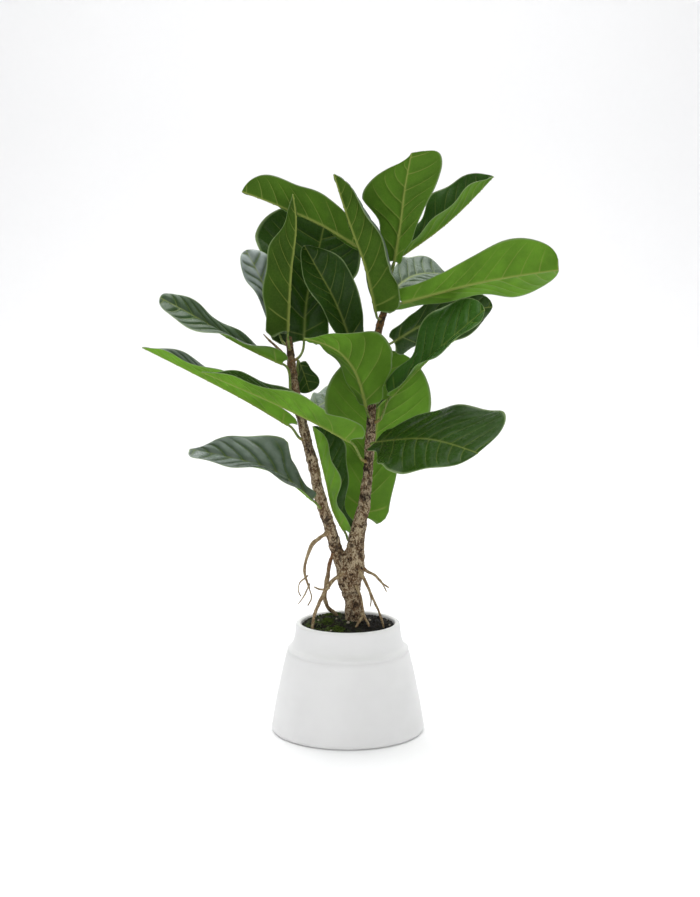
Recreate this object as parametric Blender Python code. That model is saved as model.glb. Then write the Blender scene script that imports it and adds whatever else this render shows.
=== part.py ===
"""Potted fiddle leaf fig: a matte pot, mossy soil, a forked trunk on bare roots, and large leaves.

Metres, +Z up. The origin is the middle of the pot's flat base, on the surface that it stands on.
The plant spreads along X, and its front faces -Y. Tables are in millimetres and are scaled by MM.
"""

import math
from typing import NamedTuple

import bmesh
import bpy
import numpy as np

MM = 0.001
X_AXIS = np.array((1.0, 0.0, 0.0))
Y_AXIS = np.array((0.0, 1.0, 0.0))
Z_AXIS = np.array((0.0, 0.0, 1.0))
SEAT_GAP = 0.3 * MM  # clearance between a piece and the one that it is seated on

# Pot: a wide cone with a round shoulder and a narrower collar.
POT_BASE_RADIUS = 88.3 * MM
POT_FOOT_ROUND = 4.0 * MM
POT_SHOULDER_RADIUS = 70.8 * MM
POT_SHOULDER_HEIGHT = 94.0 * MM
POT_COLLAR_RADIUS = 61.6 * MM
POT_COLLAR_HEIGHT = 104.0 * MM
POT_RIM_RADIUS = 59.8 * MM
POT_HEIGHT = 127.0 * MM
POT_WALL = 6.4 * MM
POT_FLOOR = 7.0 * MM
POT_SEGMENTS = 32

# Soil: fills the pot to just under the rim and is slightly domed.
SOIL_EDGE_HEIGHT = 122.5 * MM
SOIL_DOME = 7.0 * MM
SOIL_RINGS = 4

# Stems: (x, y, z, half width in x, half width in y) along each axis, in millimetres.
TRUNK = (
    (8, 0, 98, 9.0, 9.0),
    (7.5, 0, 130, 10.8, 10.2),
    (6.8, 0, 146, 9.8, 9.4),
    (5.5, 0, 161, 8.8, 8.6),
    (4.4, 0, 172, 10.6, 9.6),
    (4.0, 0, 182, 14.0, 10.6),
    (3.0, 0, 192, 16.8, 11.2),
    (1.2, 0, 203, 18.4, 11.4),
)
STEM_LEFT = (
    (-11, 0, 203.3, 6.0, 6.0),
    (-15, 0, 217, 6.2, 6.2),
    (-19, -2, 233, 6.1, 6.1),
    (-31, -4, 269, 5.8, 5.8),
    (-40, -5, 313, 5.3, 5.3),
    (-52, -5, 360, 4.8, 4.8),
    (-59, -6, 393, 4.5, 4.5),
    (-63, -7, 420, 4.1, 4.1),
    (-65, -8, 441, 3.5, 3.5),
    (-66, -9, 456, 2.4, 2.4),
)
STEM_RIGHT = (
    (7.2, 0, 203.3, 11.2, 11.0),
    (9, 0, 218, 9.4, 9.4),
    (14, 2, 244, 7.2, 7.2),
    (19, 2, 268, 5.9, 5.9),
    (23, 2, 305, 5.0, 5.0),
    (26, 2, 358, 4.8, 4.8),
    (28, 2, 406, 4.4, 4.4),
    (33, 2, 456, 3.9, 3.9),
    (37, 2, 472, 3.5, 3.5),
    (45, 3, 496, 3.0, 3.0),
    (49, 4, 512, 2.0, 2.0),
)
STEM_SIDES = 12
STEM_RINGS = 13

# Aerial roots: each is a list of runs, and a run is (x, y, z, radius) points in millimetres.
ROOTS = {
    "root_left_arch": (
        ((-24.6, -6, 231, 2.4), (-33, -10, 226, 2.6), (-40, -13, 220, 2.4), (-44, -15, 211, 2.0),
         (-48, -16, 199, 1.8), (-49, -16, 188, 1.6), (-47, -15, 178, 1.4), (-44, -14, 168, 1.0)),
        ((-48, -16, 182, 0.9), (-55, -18, 176, 0.8), (-56, -19, 168, 0.7), (-53, -18, 160, 0.6)),
        ((-45, -14, 171, 0.9), (-50, -16, 160, 0.8), (-57, -18, 151, 0.6)),
        ((-45, -14, 171, 0.9), (-42, -12, 161, 0.8), (-46, -10, 147, 0.7)),
    ),
    "root_left_back": (
        ((-17.6, -3, 204, 1.8), (-20.5, -4, 198, 2.3), (-23, -5, 180, 2.4), (-25.5, -3, 164, 2.3),
         (-26, 1, 152, 2.2), (-23, 9, 140, 2.1), (-15, 18, 132, 2.0), (-9, 23, 122, 1.8)),
    ),
    "root_left_front": (
        ((-7.6, -10.4, 184, 1.9), (-19, -17, 177, 2.4), (-26, -22, 167, 2.3), (-33, -26, 153, 2.1),
         (-38, -27, 141, 1.9), (-41, -26, 120, 1.6)),
        ((-24, -21, 170, 1.1), (-32, -16, 168, 0.9), (-39, -17, 171, 0.8)),
    ),
    "root_right_free": (
        ((18.4, -5.4, 189, 1.7), (30, -11, 183, 1.5), (39, -15, 175, 1.2), (46.5, -18, 170, 0.8)),
        ((38, -15, 176, 1.0), (41, -17, 171, 0.8), (44, -18, 165, 0.6)),
    ),
    "root_right_long": (
        ((13.6, -9.6, 187, 1.7), (20, -16, 177, 1.7), (26, -20, 163, 1.6), (32, -22, 150, 1.4),
         (37, -23, 138, 1.3), (42, -23, 119, 1.0)),
        ((25.5, -20, 164, 0.9), (27, -21, 156, 0.8), (25.5, -21, 149, 0.7)),
    ),
    "root_front_fork": (
        ((10.5, -9.6, 168, 1.2), (14, -12.6, 160, 1.4), (16.4, -13.6, 148, 1.6), (17, -15.4, 138, 1.8),
         (12.5, -22, 131, 1.6), (6.5, -29, 124, 1.1)),
        ((17, -15.2, 138.5, 1.6), (21.5, -22, 131, 1.5), (26.5, -28.5, 123, 1.1)),
    ),
}
ROOT_SIDES = 7
ROOT_STEP = 6.5 * MM  # length of one facet along a root
ROOTS_IN_SOIL = ("root_left_back", "root_left_front", "root_right_long", "root_front_fork")

# Small bare twigs on the left stem: (x, y, z, radius) points.
TWIGS = {
    "twig_left": ((-68.9, -9.4, 433, 1.1), (-75, -14, 440, 1.2), (-84, -18, 449, 1.3), (-94, -22, 460, 0.8)),
}

# Moss: pads on the soil, as (direction in degrees, distance, half length, half width, thickness) in mm.
MOSS_PADS = {
    "moss_left": (196, 25, 13, 9, 2.2),
    "moss_front": (252, 39, 12, 6, 1.8),
    "moss_back": (118, 36, 13, 7, 2.0),
}
MOSS_SEGMENTS = 14


class Leaf(NamedTuple):
    """One leaf: a stalk and a blade. Lengths are in millimetres and angles in degrees.

    Left and right are seen on the upper face with the tip ahead. A half is (its width against
    half the leaf's width, where it is widest from 0 at the base to 1 at the tip, how it closes
    at the tip: 0.3 is blunt and 1 is pointed).
    """

    name: str
    stem: str  # the stem that carries it
    height: float  # of its seat on that stem
    midrib: tuple  # points from the blade's base to its tip
    width: float
    roll: float = 0.0  # turns the upper face about the line from base to tip
    twist: float = 0.0  # further turn between base and tip
    fold: tuple = (15.0, 5.0)  # how far the halves are raised, at the base and at the tip
    cup: float = 8.0  # further rise from midrib to margin
    left: tuple = (1.0, 0.72, 0.5)
    right: tuple = (1.0, 0.72, 0.5)
    curl: float = 0.0  # roll of the left margin beyond the blade's first third
    heel: float = 0.3  # how far the lobes reach back past the blade's base
    toe: tuple = (0.0, 0.0)  # how far the left and right halves reach on past a notched tip
    waist: float = 0.62
    lobe: float = 0.55
    ruffle: float = 3.0
    waves: float = 2.5
    phase: float = 0.0


LEAVES = (
    Leaf("leaf_top_left", "right", 494, ((10, 5, 556), (-27, -8, 579), (-70, -28, 599), (-115, -50, 617)),
         78, roll=40, fold=(42, 40), cup=6, left=(0.78, 0.66, 0.5), right=(0.8, 0.5, 0.7),
         waist=0.95, lobe=0.7, waves=2.2, phase=0.3),
    Leaf("leaf_left_upright", "left", 442, ((-67, -18, 463), (-63, -33, 526), (-57, -44, 591), (-60, -48, 614)),
         70, roll=34, fold=(42, 42), left=(0.8, 0.4, 1.2), right=(0.85, 0.4, 1.3),
         waist=0.95, lobe=0.9, waves=3.0, phase=0.1),
    Leaf("leaf_centre_upright", "right", 474, ((31, -12, 484), (18, -30, 539), (4, -45, 577), (-15, -70, 635)),
         80, roll=-3, twist=20, fold=(36, 50), cup=4, left=(0.95, 0.3, 0.8), right=(0.5, 0.6, 0.7),
         curl=-155, heel=0.1, waist=0.95, lobe=0.75),
    Leaf("leaf_top_right", "right", 504, ((52, -5, 540), (58, -20, 580), (63, -37, 624), (69, -50, 658)),
         92, roll=-33, fold=(14, 6), cup=6, left=(0.76, 0.86, 0.3), right=(1.08, 0.5, 1.7), heel=0.1,
         toe=(0.42, 0.0), waist=0.5, lobe=0.2),
    Leaf("leaf_top_right_back", "right", 508, ((58, 14, 544), (110, 19, 581), (164, 26, 634)),
         78, roll=16, fold=(48, 36), cup=10, left=(0.95, 0.58, 0.75), right=(0.9, 0.6, 0.8)),
    Leaf("leaf_right_long", "right", 488, ((61, -12, 494), (100, -20, 505), (132, -28, 514), (231, -45, 532)),
         84, roll=-62, fold=(30, 26), left=(1.05, 0.72, 0.6), right=(0.96, 0.7, 0.25), waist=0.5, lobe=0.4),
    Leaf("leaf_right_back", "right", 490, ((51, 20, 506), (78, 70, 521), (117, 120, 520)),
         66, roll=30, fold=(8, 4), cup=6),
    Leaf("leaf_right_shaded", "right", 448, ((52, 8, 449), (105, 24, 476), (166, 46, 486)),
         96, roll=105, fold=(-4, -4), cup=-4, left=(0.55, 0.5, 0.5), right=(0.82, 0.5, 0.6), heel=0.1),
    Leaf("leaf_right_folded", "right", 358, ((49, -4, 388), (94, -34, 437), (149, -60, 489)),
         90, roll=38, fold=(44, 0), cup=6, left=(1.2, 0.64, 0.5), right=(0.8, 0.6, 0.7), heel=0.0,
         waist=0.38, lobe=0.3),
    Leaf("leaf_front", "right", 364, ((20, -17, 378), (5, -42, 425), (-19, -72, 450), (-47, -85, 460)),
         90, roll=28, fold=(32, 28), cup=6, left=(1.1, 0.34, 1.9), right=(0.6, 0.5, 0.8), heel=0.05,
         waist=0.92, lobe=0.45),
    Leaf("leaf_back_broad", "right", 257, ((21, 44, 246), (32, 38, 340), (43, 27, 438)),
         126, roll=-45, fold=(10, 4), cup=4, left=(1.0, 0.66, 0.5), right=(1.0, 0.66, 0.5), waist=0.48, lobe=0.38),
    Leaf("leaf_right_low", "right", 333, ((31, -16, 337), (51, -35, 342), (83, -68, 348), (138, -130, 341)),
         126, roll=31, fold=(5, 0), cup=-4, left=(1.1, 0.8, 0.34), right=(0.95, 0.45, 0.7), heel=0.02, lobe=0.35),
    Leaf("leaf_left_low", "left", 262, ((-40, -21, 272), (-84, -27, 306), (-143, -37, 325), (-176, -42, 333)),
         80, roll=-26, fold=(24, 16), left=(1.1, 0.9, 0.22), right=(1.1, 0.36, 1.2), heel=0.0,
         toe=(0.1, 0.0), waist=0.62, lobe=0.2),
    Leaf("leaf_left_back_long", "left", 340, ((-68, -14, 357), (-113, -28, 386), (-161, -40, 413), (-225, -60, 448)),
         60, roll=-6, fold=(38, 28), left=(0.9, 0.5, 0.85), right=(0.74, 0.6, 0.7), waist=0.8),
    Leaf("leaf_left_front_long", "right", 313, ((1, -20, 339), (-40, -52, 366), (-62, -68, 379), (-155, -120, 427)),
         84, roll=-4, fold=(38, 30), left=(0.7, 0.32, 1.0), right=(0.86, 0.5, 1.0), waist=0.85, lobe=0.9),
    Leaf("leaf_left_high", "left", 393, ((-74, -16, 426), (-128, -24, 453), (-170, -33, 480), (-207, -40, 501)),
         70, roll=-25, twist=-50, fold=(35, 5), cup=4, left=(1.0, 0.55, 0.5), right=(0.5, 0.8, 0.3),
         heel=0.1, waist=0.8),
    Leaf("leaf_left_small", "left", 408, ((-55, 5, 425), (-50, 14, 411), (-44, 20, 390)),
         30, roll=120, fold=(14, 10), heel=0.05, ruffle=0.5),
    Leaf("leaf_left_back_high", "left", 446, ((-77, 1, 458), (-92, 11, 505), (-116, 30, 551)),
         42, roll=-40, fold=(8, 4), left=(0.8, 0.7, 0.5), heel=0.1),
    Leaf("leaf_centre_dark", "right", 415, ((5, -6, 443), (-17, -2, 500), (-35, 0, 532), (-49, 4, 557)),
         70, roll=-60, fold=(20, 14), cup=10, left=(0.72, 0.6, 0.6), right=(0.9, 0.6, 0.8), waist=0.8),
    Leaf("leaf_back_tall", "left", 428, ((-50, 18, 449), (-47, 30, 495), (-34, 48, 550), (-23, 62, 598)),
         136, roll=32, fold=(10, 4), cup=4, left=(1.1, 0.68, 0.5), right=(0.75, 0.6, 0.6), heel=0.1, waist=0.5),
    Leaf("leaf_back_low", "left", 356, ((-48, 30, 364), (-22, 80, 374), (5, 130, 383)),
         56, fold=(6, 4)),
    Leaf("leaf_trunk_folded", "right", 218, ((-5, 15, 231), (-15, 14, 250), (-25, 11, 290), (-40, 10, 352)),
         84, roll=-15, fold=(34, 34), left=(0.8, 0.6, 0.8), right=(1.0, 0.6, 0.6), heel=0.0, lobe=0.35),
    Leaf("leaf_bud", "right", 370, ((34, 7, 374), (38, 8, 378), (43, 9, 382)),
         8, fold=(30, 30), ruffle=0.0),
)
LEAF_ROWS = 10  # rings along a blade
LEAF_HALF_COLUMNS = 3  # facets from midrib to margin
LEAF_MIDRIB_THICKNESS = 2.4 * MM
LEAF_THICKNESS = 1.0 * MM
STALK_RADIUS = 1.4 * MM
STALK_SEAT_RADIUS = 1.7 * MM
STALK_RINGS = 4

# Colours are linear, and each finish is (colour, roughness, metallic).
CERAMIC = ((0.80, 0.80, 0.78), 0.55, 0.0)
SOIL = ((0.018, 0.016, 0.010), 0.95, 0.0)
MOSS = ((0.045, 0.085, 0.012), 0.95, 0.0)
BARK = ((0.21, 0.16, 0.10), 0.85, 0.0)
ROOT = ((0.33, 0.26, 0.16), 0.80, 0.0)
LEAF_GREEN = ((0.045, 0.13, 0.02), 0.45, 0.0)


def clear_scene():
    """Remove every object, so that the script gives the same scene each time."""
    for item in list(bpy.data.objects):
        bpy.data.objects.remove(item, do_unlink=True)


def finish(name, look):
    """A Principled material from (colour, roughness, metallic)."""
    colour, roughness, metallic = look
    material = bpy.data.materials.new(name)
    material.use_nodes = True
    shader = material.node_tree.nodes["Principled BSDF"]
    shader.inputs["Base Color"].default_value = (*colour, 1.0)
    shader.inputs["Roughness"].default_value = roughness
    shader.inputs["Metallic"].default_value = metallic
    return material


def add_object(name, mesh_builder, material, sharp_angle=40.0):
    """Put a bmesh into the scene as a named object with its own copy of a finish."""
    mesh = bpy.data.meshes.new(name)
    mesh_builder.to_mesh(mesh)
    mesh_builder.free()
    mesh.shade_smooth()
    mesh.set_sharp_from_angle(angle=math.radians(sharp_angle))
    own = material.copy()
    own.name = f"{name}_finish"
    mesh.materials.append(own)
    item = bpy.data.objects.new(name, mesh)
    bpy.context.scene.collection.objects.link(item)
    return item


def as_cutter(item):
    """Mark an object as a cutter, which isn't part of the plant."""
    item.hide_render = True
    item.display_type = "WIRE"


def combine(item, other, operation):
    """Boolean one object with another, and remove the other."""
    modifier = item.modifiers.new(operation.lower(), "BOOLEAN")
    modifier.operation = operation
    modifier.object = other
    modifier.solver = "EXACT"
    bpy.context.view_layer.update()
    evaluated = item.evaluated_get(bpy.context.evaluated_depsgraph_get())
    mesh = bpy.data.meshes.new_from_object(evaluated)
    item.modifiers.clear()
    item.data = mesh
    bpy.data.objects.remove(other, do_unlink=True)


def unit(vectors):
    """Vectors scaled to length one along the last axis."""
    return vectors / np.linalg.norm(vectors, axis=-1, keepdims=True)


def smoothstep(x):
    """0 below 0, 1 above 1, and the cubic 3x^2 - 2x^3 between."""
    x = np.clip(x, 0.0, 1.0)
    return x * x * (3.0 - 2.0 * x)


def smooth_path(points, places):
    """A cubic Hermite curve through points, read at places from 0 to 1 along its chords."""
    points = np.asarray(points, float)
    knots = np.concatenate([[0.0], np.cumsum(np.linalg.norm(np.diff(points[:, :3], axis=0), axis=1))])
    knots /= knots[-1]
    steps = np.diff(knots)
    chords = np.diff(points, axis=0) / steps[:, None]
    slopes = np.zeros_like(points)
    weights = (steps[:-1] + steps[1:])[:, None]
    slopes[1:-1] = (chords[:-1] * steps[1:, None] + chords[1:] * steps[:-1, None]) / weights
    slopes[0] = 1.5 * chords[0] - 0.5 * slopes[1]
    slopes[-1] = 1.5 * chords[-1] - 0.5 * slopes[-2]
    span = np.clip(np.searchsorted(knots, places, side="right") - 1, 0, len(steps) - 1)
    width = steps[span][:, None]
    t = ((places - knots[span]) / steps[span])[:, None]
    return (
        (2 * t**3 - 3 * t**2 + 1) * points[span]
        + (t**3 - 2 * t**2 + t) * width * slopes[span]
        + (3 * t**2 - 2 * t**3) * points[span + 1]
        + (t**3 - t**2) * width * slopes[span + 1]
    )


def carried_frames(path):
    """Tangents, and two unit vectors square to each, turned as little as possible along a path."""
    tangents = unit(np.gradient(path, axis=0))
    side = np.cross(tangents[0], Y_AXIS)
    if np.linalg.norm(side) < 0.1:
        side = np.cross(tangents[0], X_AXIS)
    sides = []
    for tangent in tangents:
        side = unit(side - tangent * np.dot(side, tangent))
        sides.append(side)
    sides = np.array(sides)
    return tangents, sides, np.cross(tangents, sides)


def loft(rings, start=None, end=None):
    """A closed skin over equal rings of points, each end closed by a point or by a flat face.

    The quads are split along mirrored diagonals on the two halves of a ring, so the two faces of
    a warped blade stay parallel.
    """
    builder = bmesh.new()
    loops = [[builder.verts.new(point) for point in ring] for ring in rings]
    count = len(loops[0])
    for lower, upper in zip(loops, loops[1:]):
        for i in range(count):
            j = (i + 1) % count
            if i < count // 2:
                builder.faces.new((lower[i], lower[j], upper[j]))
                builder.faces.new((lower[i], upper[j], upper[i]))
            else:
                builder.faces.new((lower[i], lower[j], upper[i]))
                builder.faces.new((lower[j], upper[j], upper[i]))
    for loop, apex in ((loops[0][::-1], start), (loops[-1], end)):
        if apex is None:
            builder.faces.new(loop)
            continue
        tip = builder.verts.new(apex)
        for i in range(count):
            builder.faces.new((loop[i], loop[(i + 1) % count], tip))
    if builder.calc_volume(signed=True) < 0.0:
        bmesh.ops.reverse_faces(builder, faces=builder.faces)
    return builder


def ring_angles(sides):
    """Angles of the corners of a ring."""
    return np.arange(sides) * math.tau / sides


def tube(points, rings, sides, level=False, round_end=True, swell=0.0, stretch=0.0):
    """A loft round a smooth path. Points hold x, y, z and one or two half widths, in millimetres.

    level keeps every ring horizontal, with its half widths along X and Y. swell makes it thicker
    and stretch makes it longer at both ends, for a cutter.
    """
    points = np.asarray(points, float) * MM
    samples = smooth_path(points, np.linspace(0.0, 1.0, rings))
    path = samples[:, :3]
    tangents, side, front = carried_frames(path)
    if level:
        tangents, side, front = (np.tile(axis, (rings, 1)) for axis in (Z_AXIS, X_AXIS, Y_AXIS))
    path[0] -= tangents[0] * stretch
    path[-1] += tangents[-1] * stretch
    turn = ring_angles(sides)
    wide = (samples[:, 3] + swell)[:, None, None] * side[:, None] * np.cos(turn)[None, :, None]
    deep = (samples[:, -1] + swell)[:, None, None] * front[:, None] * np.sin(turn)[None, :, None]
    loops = path[:, None] + wide + deep
    apex = path[-1] + tangents[-1] * (samples[-1, 3] * 0.8 + swell) if round_end else None
    return loft(loops, end=apex)


def turned(profile, segments):
    """A solid of revolution about Z from (radius, height) points that start and end on the axis."""
    turn = ring_angles(segments)
    circle = np.stack([np.cos(turn), np.sin(turn), np.zeros(segments)], axis=1)
    inner = [np.array(point) for point in profile[1:-1]]
    rings = [circle * radius + (0.0, 0.0, height) for radius, height in inner]
    return loft(rings, start=(0.0, 0.0, profile[0][1]), end=(0.0, 0.0, profile[-1][1]))


def arc(centre, radius, start, end, steps):
    """Points on a circular arc in the (radius, height) plane, angles in degrees."""
    angles = np.radians(np.linspace(start, end, steps))
    return [(centre[0] + radius * math.cos(a), centre[1] + radius * math.sin(a)) for a in angles]


def pot_outline():
    """The pot's outer outline from foot to rim: a cone, a convex shoulder, a concave neck, a collar."""
    foot = arc((POT_BASE_RADIUS - POT_FOOT_ROUND, POT_FOOT_ROUND), POT_FOOT_ROUND, -90, 0, 4)
    drop = POT_COLLAR_HEIGHT - POT_SHOULDER_HEIGHT
    step = POT_SHOULDER_RADIUS - POT_COLLAR_RADIUS
    shoulder = []
    for share in np.linspace(0.0, 1.0, 8):
        radius = POT_SHOULDER_RADIUS - step * (1.0 - math.cos(math.pi * share)) / 2.0
        shoulder.append((radius, POT_SHOULDER_HEIGHT + drop * share**0.85))
    lip = POT_WALL / 2.0
    rim = arc((POT_RIM_RADIUS - lip, POT_HEIGHT - lip), lip, 0, 180, 7)
    return foot + shoulder + rim


def build_pot(material):
    """The pot, thrown as one shell with an even wall, open at the top."""
    outer = pot_outline()
    inner = [
        (POT_RIM_RADIUS - POT_WALL, POT_COLLAR_HEIGHT),
        (POT_SHOULDER_RADIUS - POT_WALL - 3.0 * MM, POT_SHOULDER_HEIGHT - 3.0 * MM),
        (POT_BASE_RADIUS - POT_WALL - 1.0 * MM, POT_FLOOR + 3.0 * MM),
        (POT_BASE_RADIUS - POT_WALL - 4.0 * MM, POT_FLOOR),
    ]
    profile = [(0.0, 0.0)] + outer + inner + [(0.0, POT_FLOOR)]
    return add_object("pot", turned(profile, POT_SEGMENTS), material)


def soil_height(distance):
    """Height of the soil's domed surface at a distance from the pot's axis."""
    edge = POT_RIM_RADIUS - POT_WALL
    return SOIL_EDGE_HEIGHT + SOIL_DOME * (1.0 - (distance / edge) ** 2)


def build_soil(material):
    """The soil: it fills the pot, with a domed top, and has a socket for each piece that stands in it."""
    gap = 2.0 * SEAT_GAP
    edge = POT_RIM_RADIUS - POT_WALL - gap
    top = [(edge * share, soil_height(edge * share)) for share in np.linspace(1.0, 0.2, SOIL_RINGS)]
    profile = [
        (0.0, POT_FLOOR + SEAT_GAP),
        (POT_BASE_RADIUS - POT_WALL - 4.0 * MM - gap, POT_FLOOR + SEAT_GAP),
        (POT_BASE_RADIUS - POT_WALL - 1.0 * MM - gap, POT_FLOOR + 3.0 * MM),
        (POT_SHOULDER_RADIUS - POT_WALL - 3.0 * MM - gap, POT_SHOULDER_HEIGHT - 3.0 * MM - gap),
        (edge, POT_COLLAR_HEIGHT - gap),
        *top,
        (0.0, soil_height(0.0)),
    ]
    soil = add_object("soil", turned(profile, POT_SEGMENTS), material)
    sockets = [tube(TRUNK, STEM_RINGS, STEM_SIDES, level=True, round_end=False, swell=SEAT_GAP, stretch=SEAT_GAP)]
    for name in ROOTS_IN_SOIL:
        for run in ROOTS[name]:
            lowest = min(point[2] for point in run) * MM
            if lowest < SOIL_EDGE_HEIGHT + SOIL_DOME:
                sockets.append(tube(run, run_rings(run), ROOT_SIDES, swell=SEAT_GAP, stretch=SEAT_GAP))
    for number, builder in enumerate(sockets):
        cutter = add_object(f"socket_{number}", builder, material)
        as_cutter(cutter)
        combine(soil, cutter, "DIFFERENCE")
    return soil


def run_rings(run):
    """Number of rings that keeps the facets along a root near ROOT_STEP long."""
    points = np.asarray(run, float)[:, :3] * MM
    length = np.linalg.norm(np.diff(points, axis=0), axis=1).sum()
    return max(4, round(length / ROOT_STEP) + 1)


def build_roots(material):
    """The aerial roots, each with its side shoots grown into one body."""
    for name, runs in ROOTS.items():
        root = add_object(name, tube(runs[0], run_rings(runs[0]), ROOT_SIDES), material)
        for run in runs[1:]:
            shoot = add_object("shoot", tube(run, run_rings(run), ROOT_SIDES), material)
            as_cutter(shoot)
            combine(root, shoot, "UNION")


def build_moss(material):
    """Low pads of moss that lie on the soil's dome."""
    turn = ring_angles(MOSS_SEGMENTS)
    for name, (direction, distance, length, width, thickness) in MOSS_PADS.items():
        along = np.array([math.cos(math.radians(direction)), math.sin(math.radians(direction))])
        across = np.array([-along[1], along[0]])
        wobble = 1.0 + 0.14 * np.sin(3.0 * turn + direction)
        rings = []
        for share, rise in ((0.45, 0.0), (1.0, 0.0), (0.86, 0.75), (0.45, 1.0)):
            flat = along * distance
            flat = flat + np.outer(np.cos(turn) * width * wobble * share, along)
            flat = flat + np.outer(np.sin(turn) * length * wobble * share, across)
            flat = flat * MM
            height = soil_height(np.linalg.norm(flat, axis=1)) + 2.0 * SEAT_GAP + thickness * MM * rise
            rings.append(np.column_stack([flat, height]))
        centre = along * distance * MM
        base = soil_height(distance * MM) + 2.0 * SEAT_GAP
        low = (*centre, base)
        high = (*centre, base + thickness * MM * 1.05)
        add_object(name, loft(rings, start=low, end=high), material)


def build_stems(material):
    """The trunk and its two stems. The stems stand on the trunk's flat top with a hairline gap."""
    add_object("trunk", tube(TRUNK, STEM_RINGS, STEM_SIDES, level=True, round_end=False), material)
    for name, axis in (("stem_left", STEM_LEFT), ("stem_right", STEM_RIGHT)):
        add_object(name, tube(axis, STEM_RINGS, STEM_SIDES, level=True), material)


def build_twigs(material):
    """Bare leafless stubs."""
    for name, run in TWIGS.items():
        add_object(name, tube(run, run_rings(run), ROOT_SIDES), material)


def stem_at(stem, height):
    """Axis point, direction and radius of a stem at a height in millimetres."""
    axis = np.asarray(STEM_LEFT if stem == "left" else STEM_RIGHT, float) * MM
    samples = smooth_path(axis, np.linspace(0.0, 1.0, 400))
    place = int(np.argmin(np.abs(samples[:, 2] - height * MM)))
    direction = unit(samples[place + 1, :3] - samples[place - 1, :3])
    return samples[place, :3], direction, samples[place, 3]


def half_outline(u, half, waist, lobe):
    """A half blade's relative width: a lobe at the base, a waist, a broad end and a closed tip."""
    _, broad, close = half
    low = waist + (lobe - waist) * np.exp(-(((u - 0.07) / 0.12) ** 2))
    width = low + (1.0 - low) * smoothstep((u - 0.28) / (broad - 0.28))
    width = width * np.sqrt(1.0 - 0.75 * (1.0 - np.clip(u / 0.07, 0.0, 1.0)) ** 2)
    beyond = np.clip((u - broad) / (1.0 - broad), 0.0, 1.0)
    return 0.015 + 0.985 * width * (1.0 - beyond**2) ** close


def blade_frames(leaf, u):
    """Points, tangents, upward normals and side vectors of a leaf's midrib."""
    midrib = smooth_path(np.asarray(leaf.midrib, float) * MM, u)
    chord = unit(midrib[-1] - midrib[0])
    up = unit(Z_AXIS - chord * chord[2])
    across = np.cross(chord, up)
    turn = np.radians(leaf.roll + leaf.twist * (u - 0.5))[:, None]
    tangents = unit(np.gradient(midrib, u, axis=0))
    normals = up * np.cos(turn) + across * np.sin(turn)
    normals = unit(normals - tangents * np.sum(normals * tangents, axis=1, keepdims=True))
    return midrib, tangents, normals, np.cross(tangents, normals)


def half_blade(leaf, u, a, hand):
    """One half of a blade on a grid of u, along the midrib, and a, from midrib to margin.

    Each row starts on the midrib and goes out at the angle that the fold, the cup and the curl
    give, so its length is the outline's width. hand is -1 for the left half and 1 for the right.
    Returns the points and the upper face's normals.
    """
    midrib, tangents, normals, sides = blade_frames(leaf, u)
    half = leaf.left if hand < 0 else leaf.right
    width = leaf.width / 2.0 * MM * half[0] * half_outline(u, half, leaf.waist, leaf.lobe)
    fold = leaf.fold[0] + (leaf.fold[1] - leaf.fold[0]) * u
    curl = (leaf.curl if hand < 0 else 0.0) * smoothstep(u / 0.4)
    edge = np.clip((a - 0.6) / 0.4, 0.0, 1.0) ** 1.2
    angle = np.radians(fold[:, None] + leaf.cup * a + curl[:, None] * edge)
    mean = (angle[:, 1:] + angle[:, :-1]) / 2.0
    step = width[:, None] * np.diff(a)
    out = np.pad(np.cumsum(np.cos(mean) * step, axis=1), ((0, 0), (1, 0)))
    rise = np.pad(np.cumsum(np.sin(mean) * step, axis=1), ((0, 0), (1, 0)))
    shift = 0.0 if hand < 0 else 0.31
    wave = np.sin(math.tau * (leaf.waves * u + leaf.phase + shift))
    wave = wave * np.minimum(1.0, 2.5 * width / width.max())
    rise = rise + leaf.ruffle * MM * a**2 * wave[:, None]
    back = leaf.heel * width.max() * a**1.6 * np.exp(-((u / 0.1) ** 2))[:, None]
    toe = leaf.toe[0] if hand < 0 else leaf.toe[1]
    ahead = toe * a * (width * np.exp(-(((1.0 - u) / 0.15) ** 2)))[:, None]
    points = (
        midrib[:, None]
        + hand * out[..., None] * sides[:, None]
        + rise[..., None] * normals[:, None]
        + (ahead - back)[..., None] * tangents[:, None]
    )
    facing = np.cos(angle)[..., None] * normals[:, None] - hand * np.sin(angle)[..., None] * sides[:, None]
    return points, facing


def blade_rings(leaf):
    """Closed rings round the blade: across the upper face, then back across the underside."""
    share = np.linspace(0.0, 1.0, LEAF_ROWS)
    u = 0.55 * share + 0.45 * (1.0 - np.cos(math.pi * share)) / 2.0
    a = np.linspace(0.0, 1.0, LEAF_HALF_COLUMNS + 1)
    left, left_facing = half_blade(leaf, u, a, -1)
    right, right_facing = half_blade(leaf, u, a, 1)
    points = np.concatenate([left[:, ::-1], right[:, 1:]], axis=1)
    facing = np.concatenate([left_facing[:, ::-1], right_facing[:, 1:]], axis=1)
    facing[:, LEAF_HALF_COLUMNS] = unit(left_facing[:, 0] + right_facing[:, 0])
    across = np.abs(np.linspace(-1.0, 1.0, points.shape[1]))
    rib = (LEAF_MIDRIB_THICKNESS - LEAF_THICKNESS) * (1.0 - across) ** 3
    thickness = LEAF_THICKNESS + rib[None, :] * (1.0 - 0.7 * u[:, None])
    thickness = thickness * (1.0 - 0.8 * u[:, None] ** 16) * np.minimum(1.0, leaf.width / 40.0)
    half = thickness[..., None] / 2.0 * facing
    half[:, (0, -1)] = 0.0
    upper = points + half
    under = points - half
    return np.concatenate([upper, under[:, -2:0:-1]], axis=1)


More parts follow.
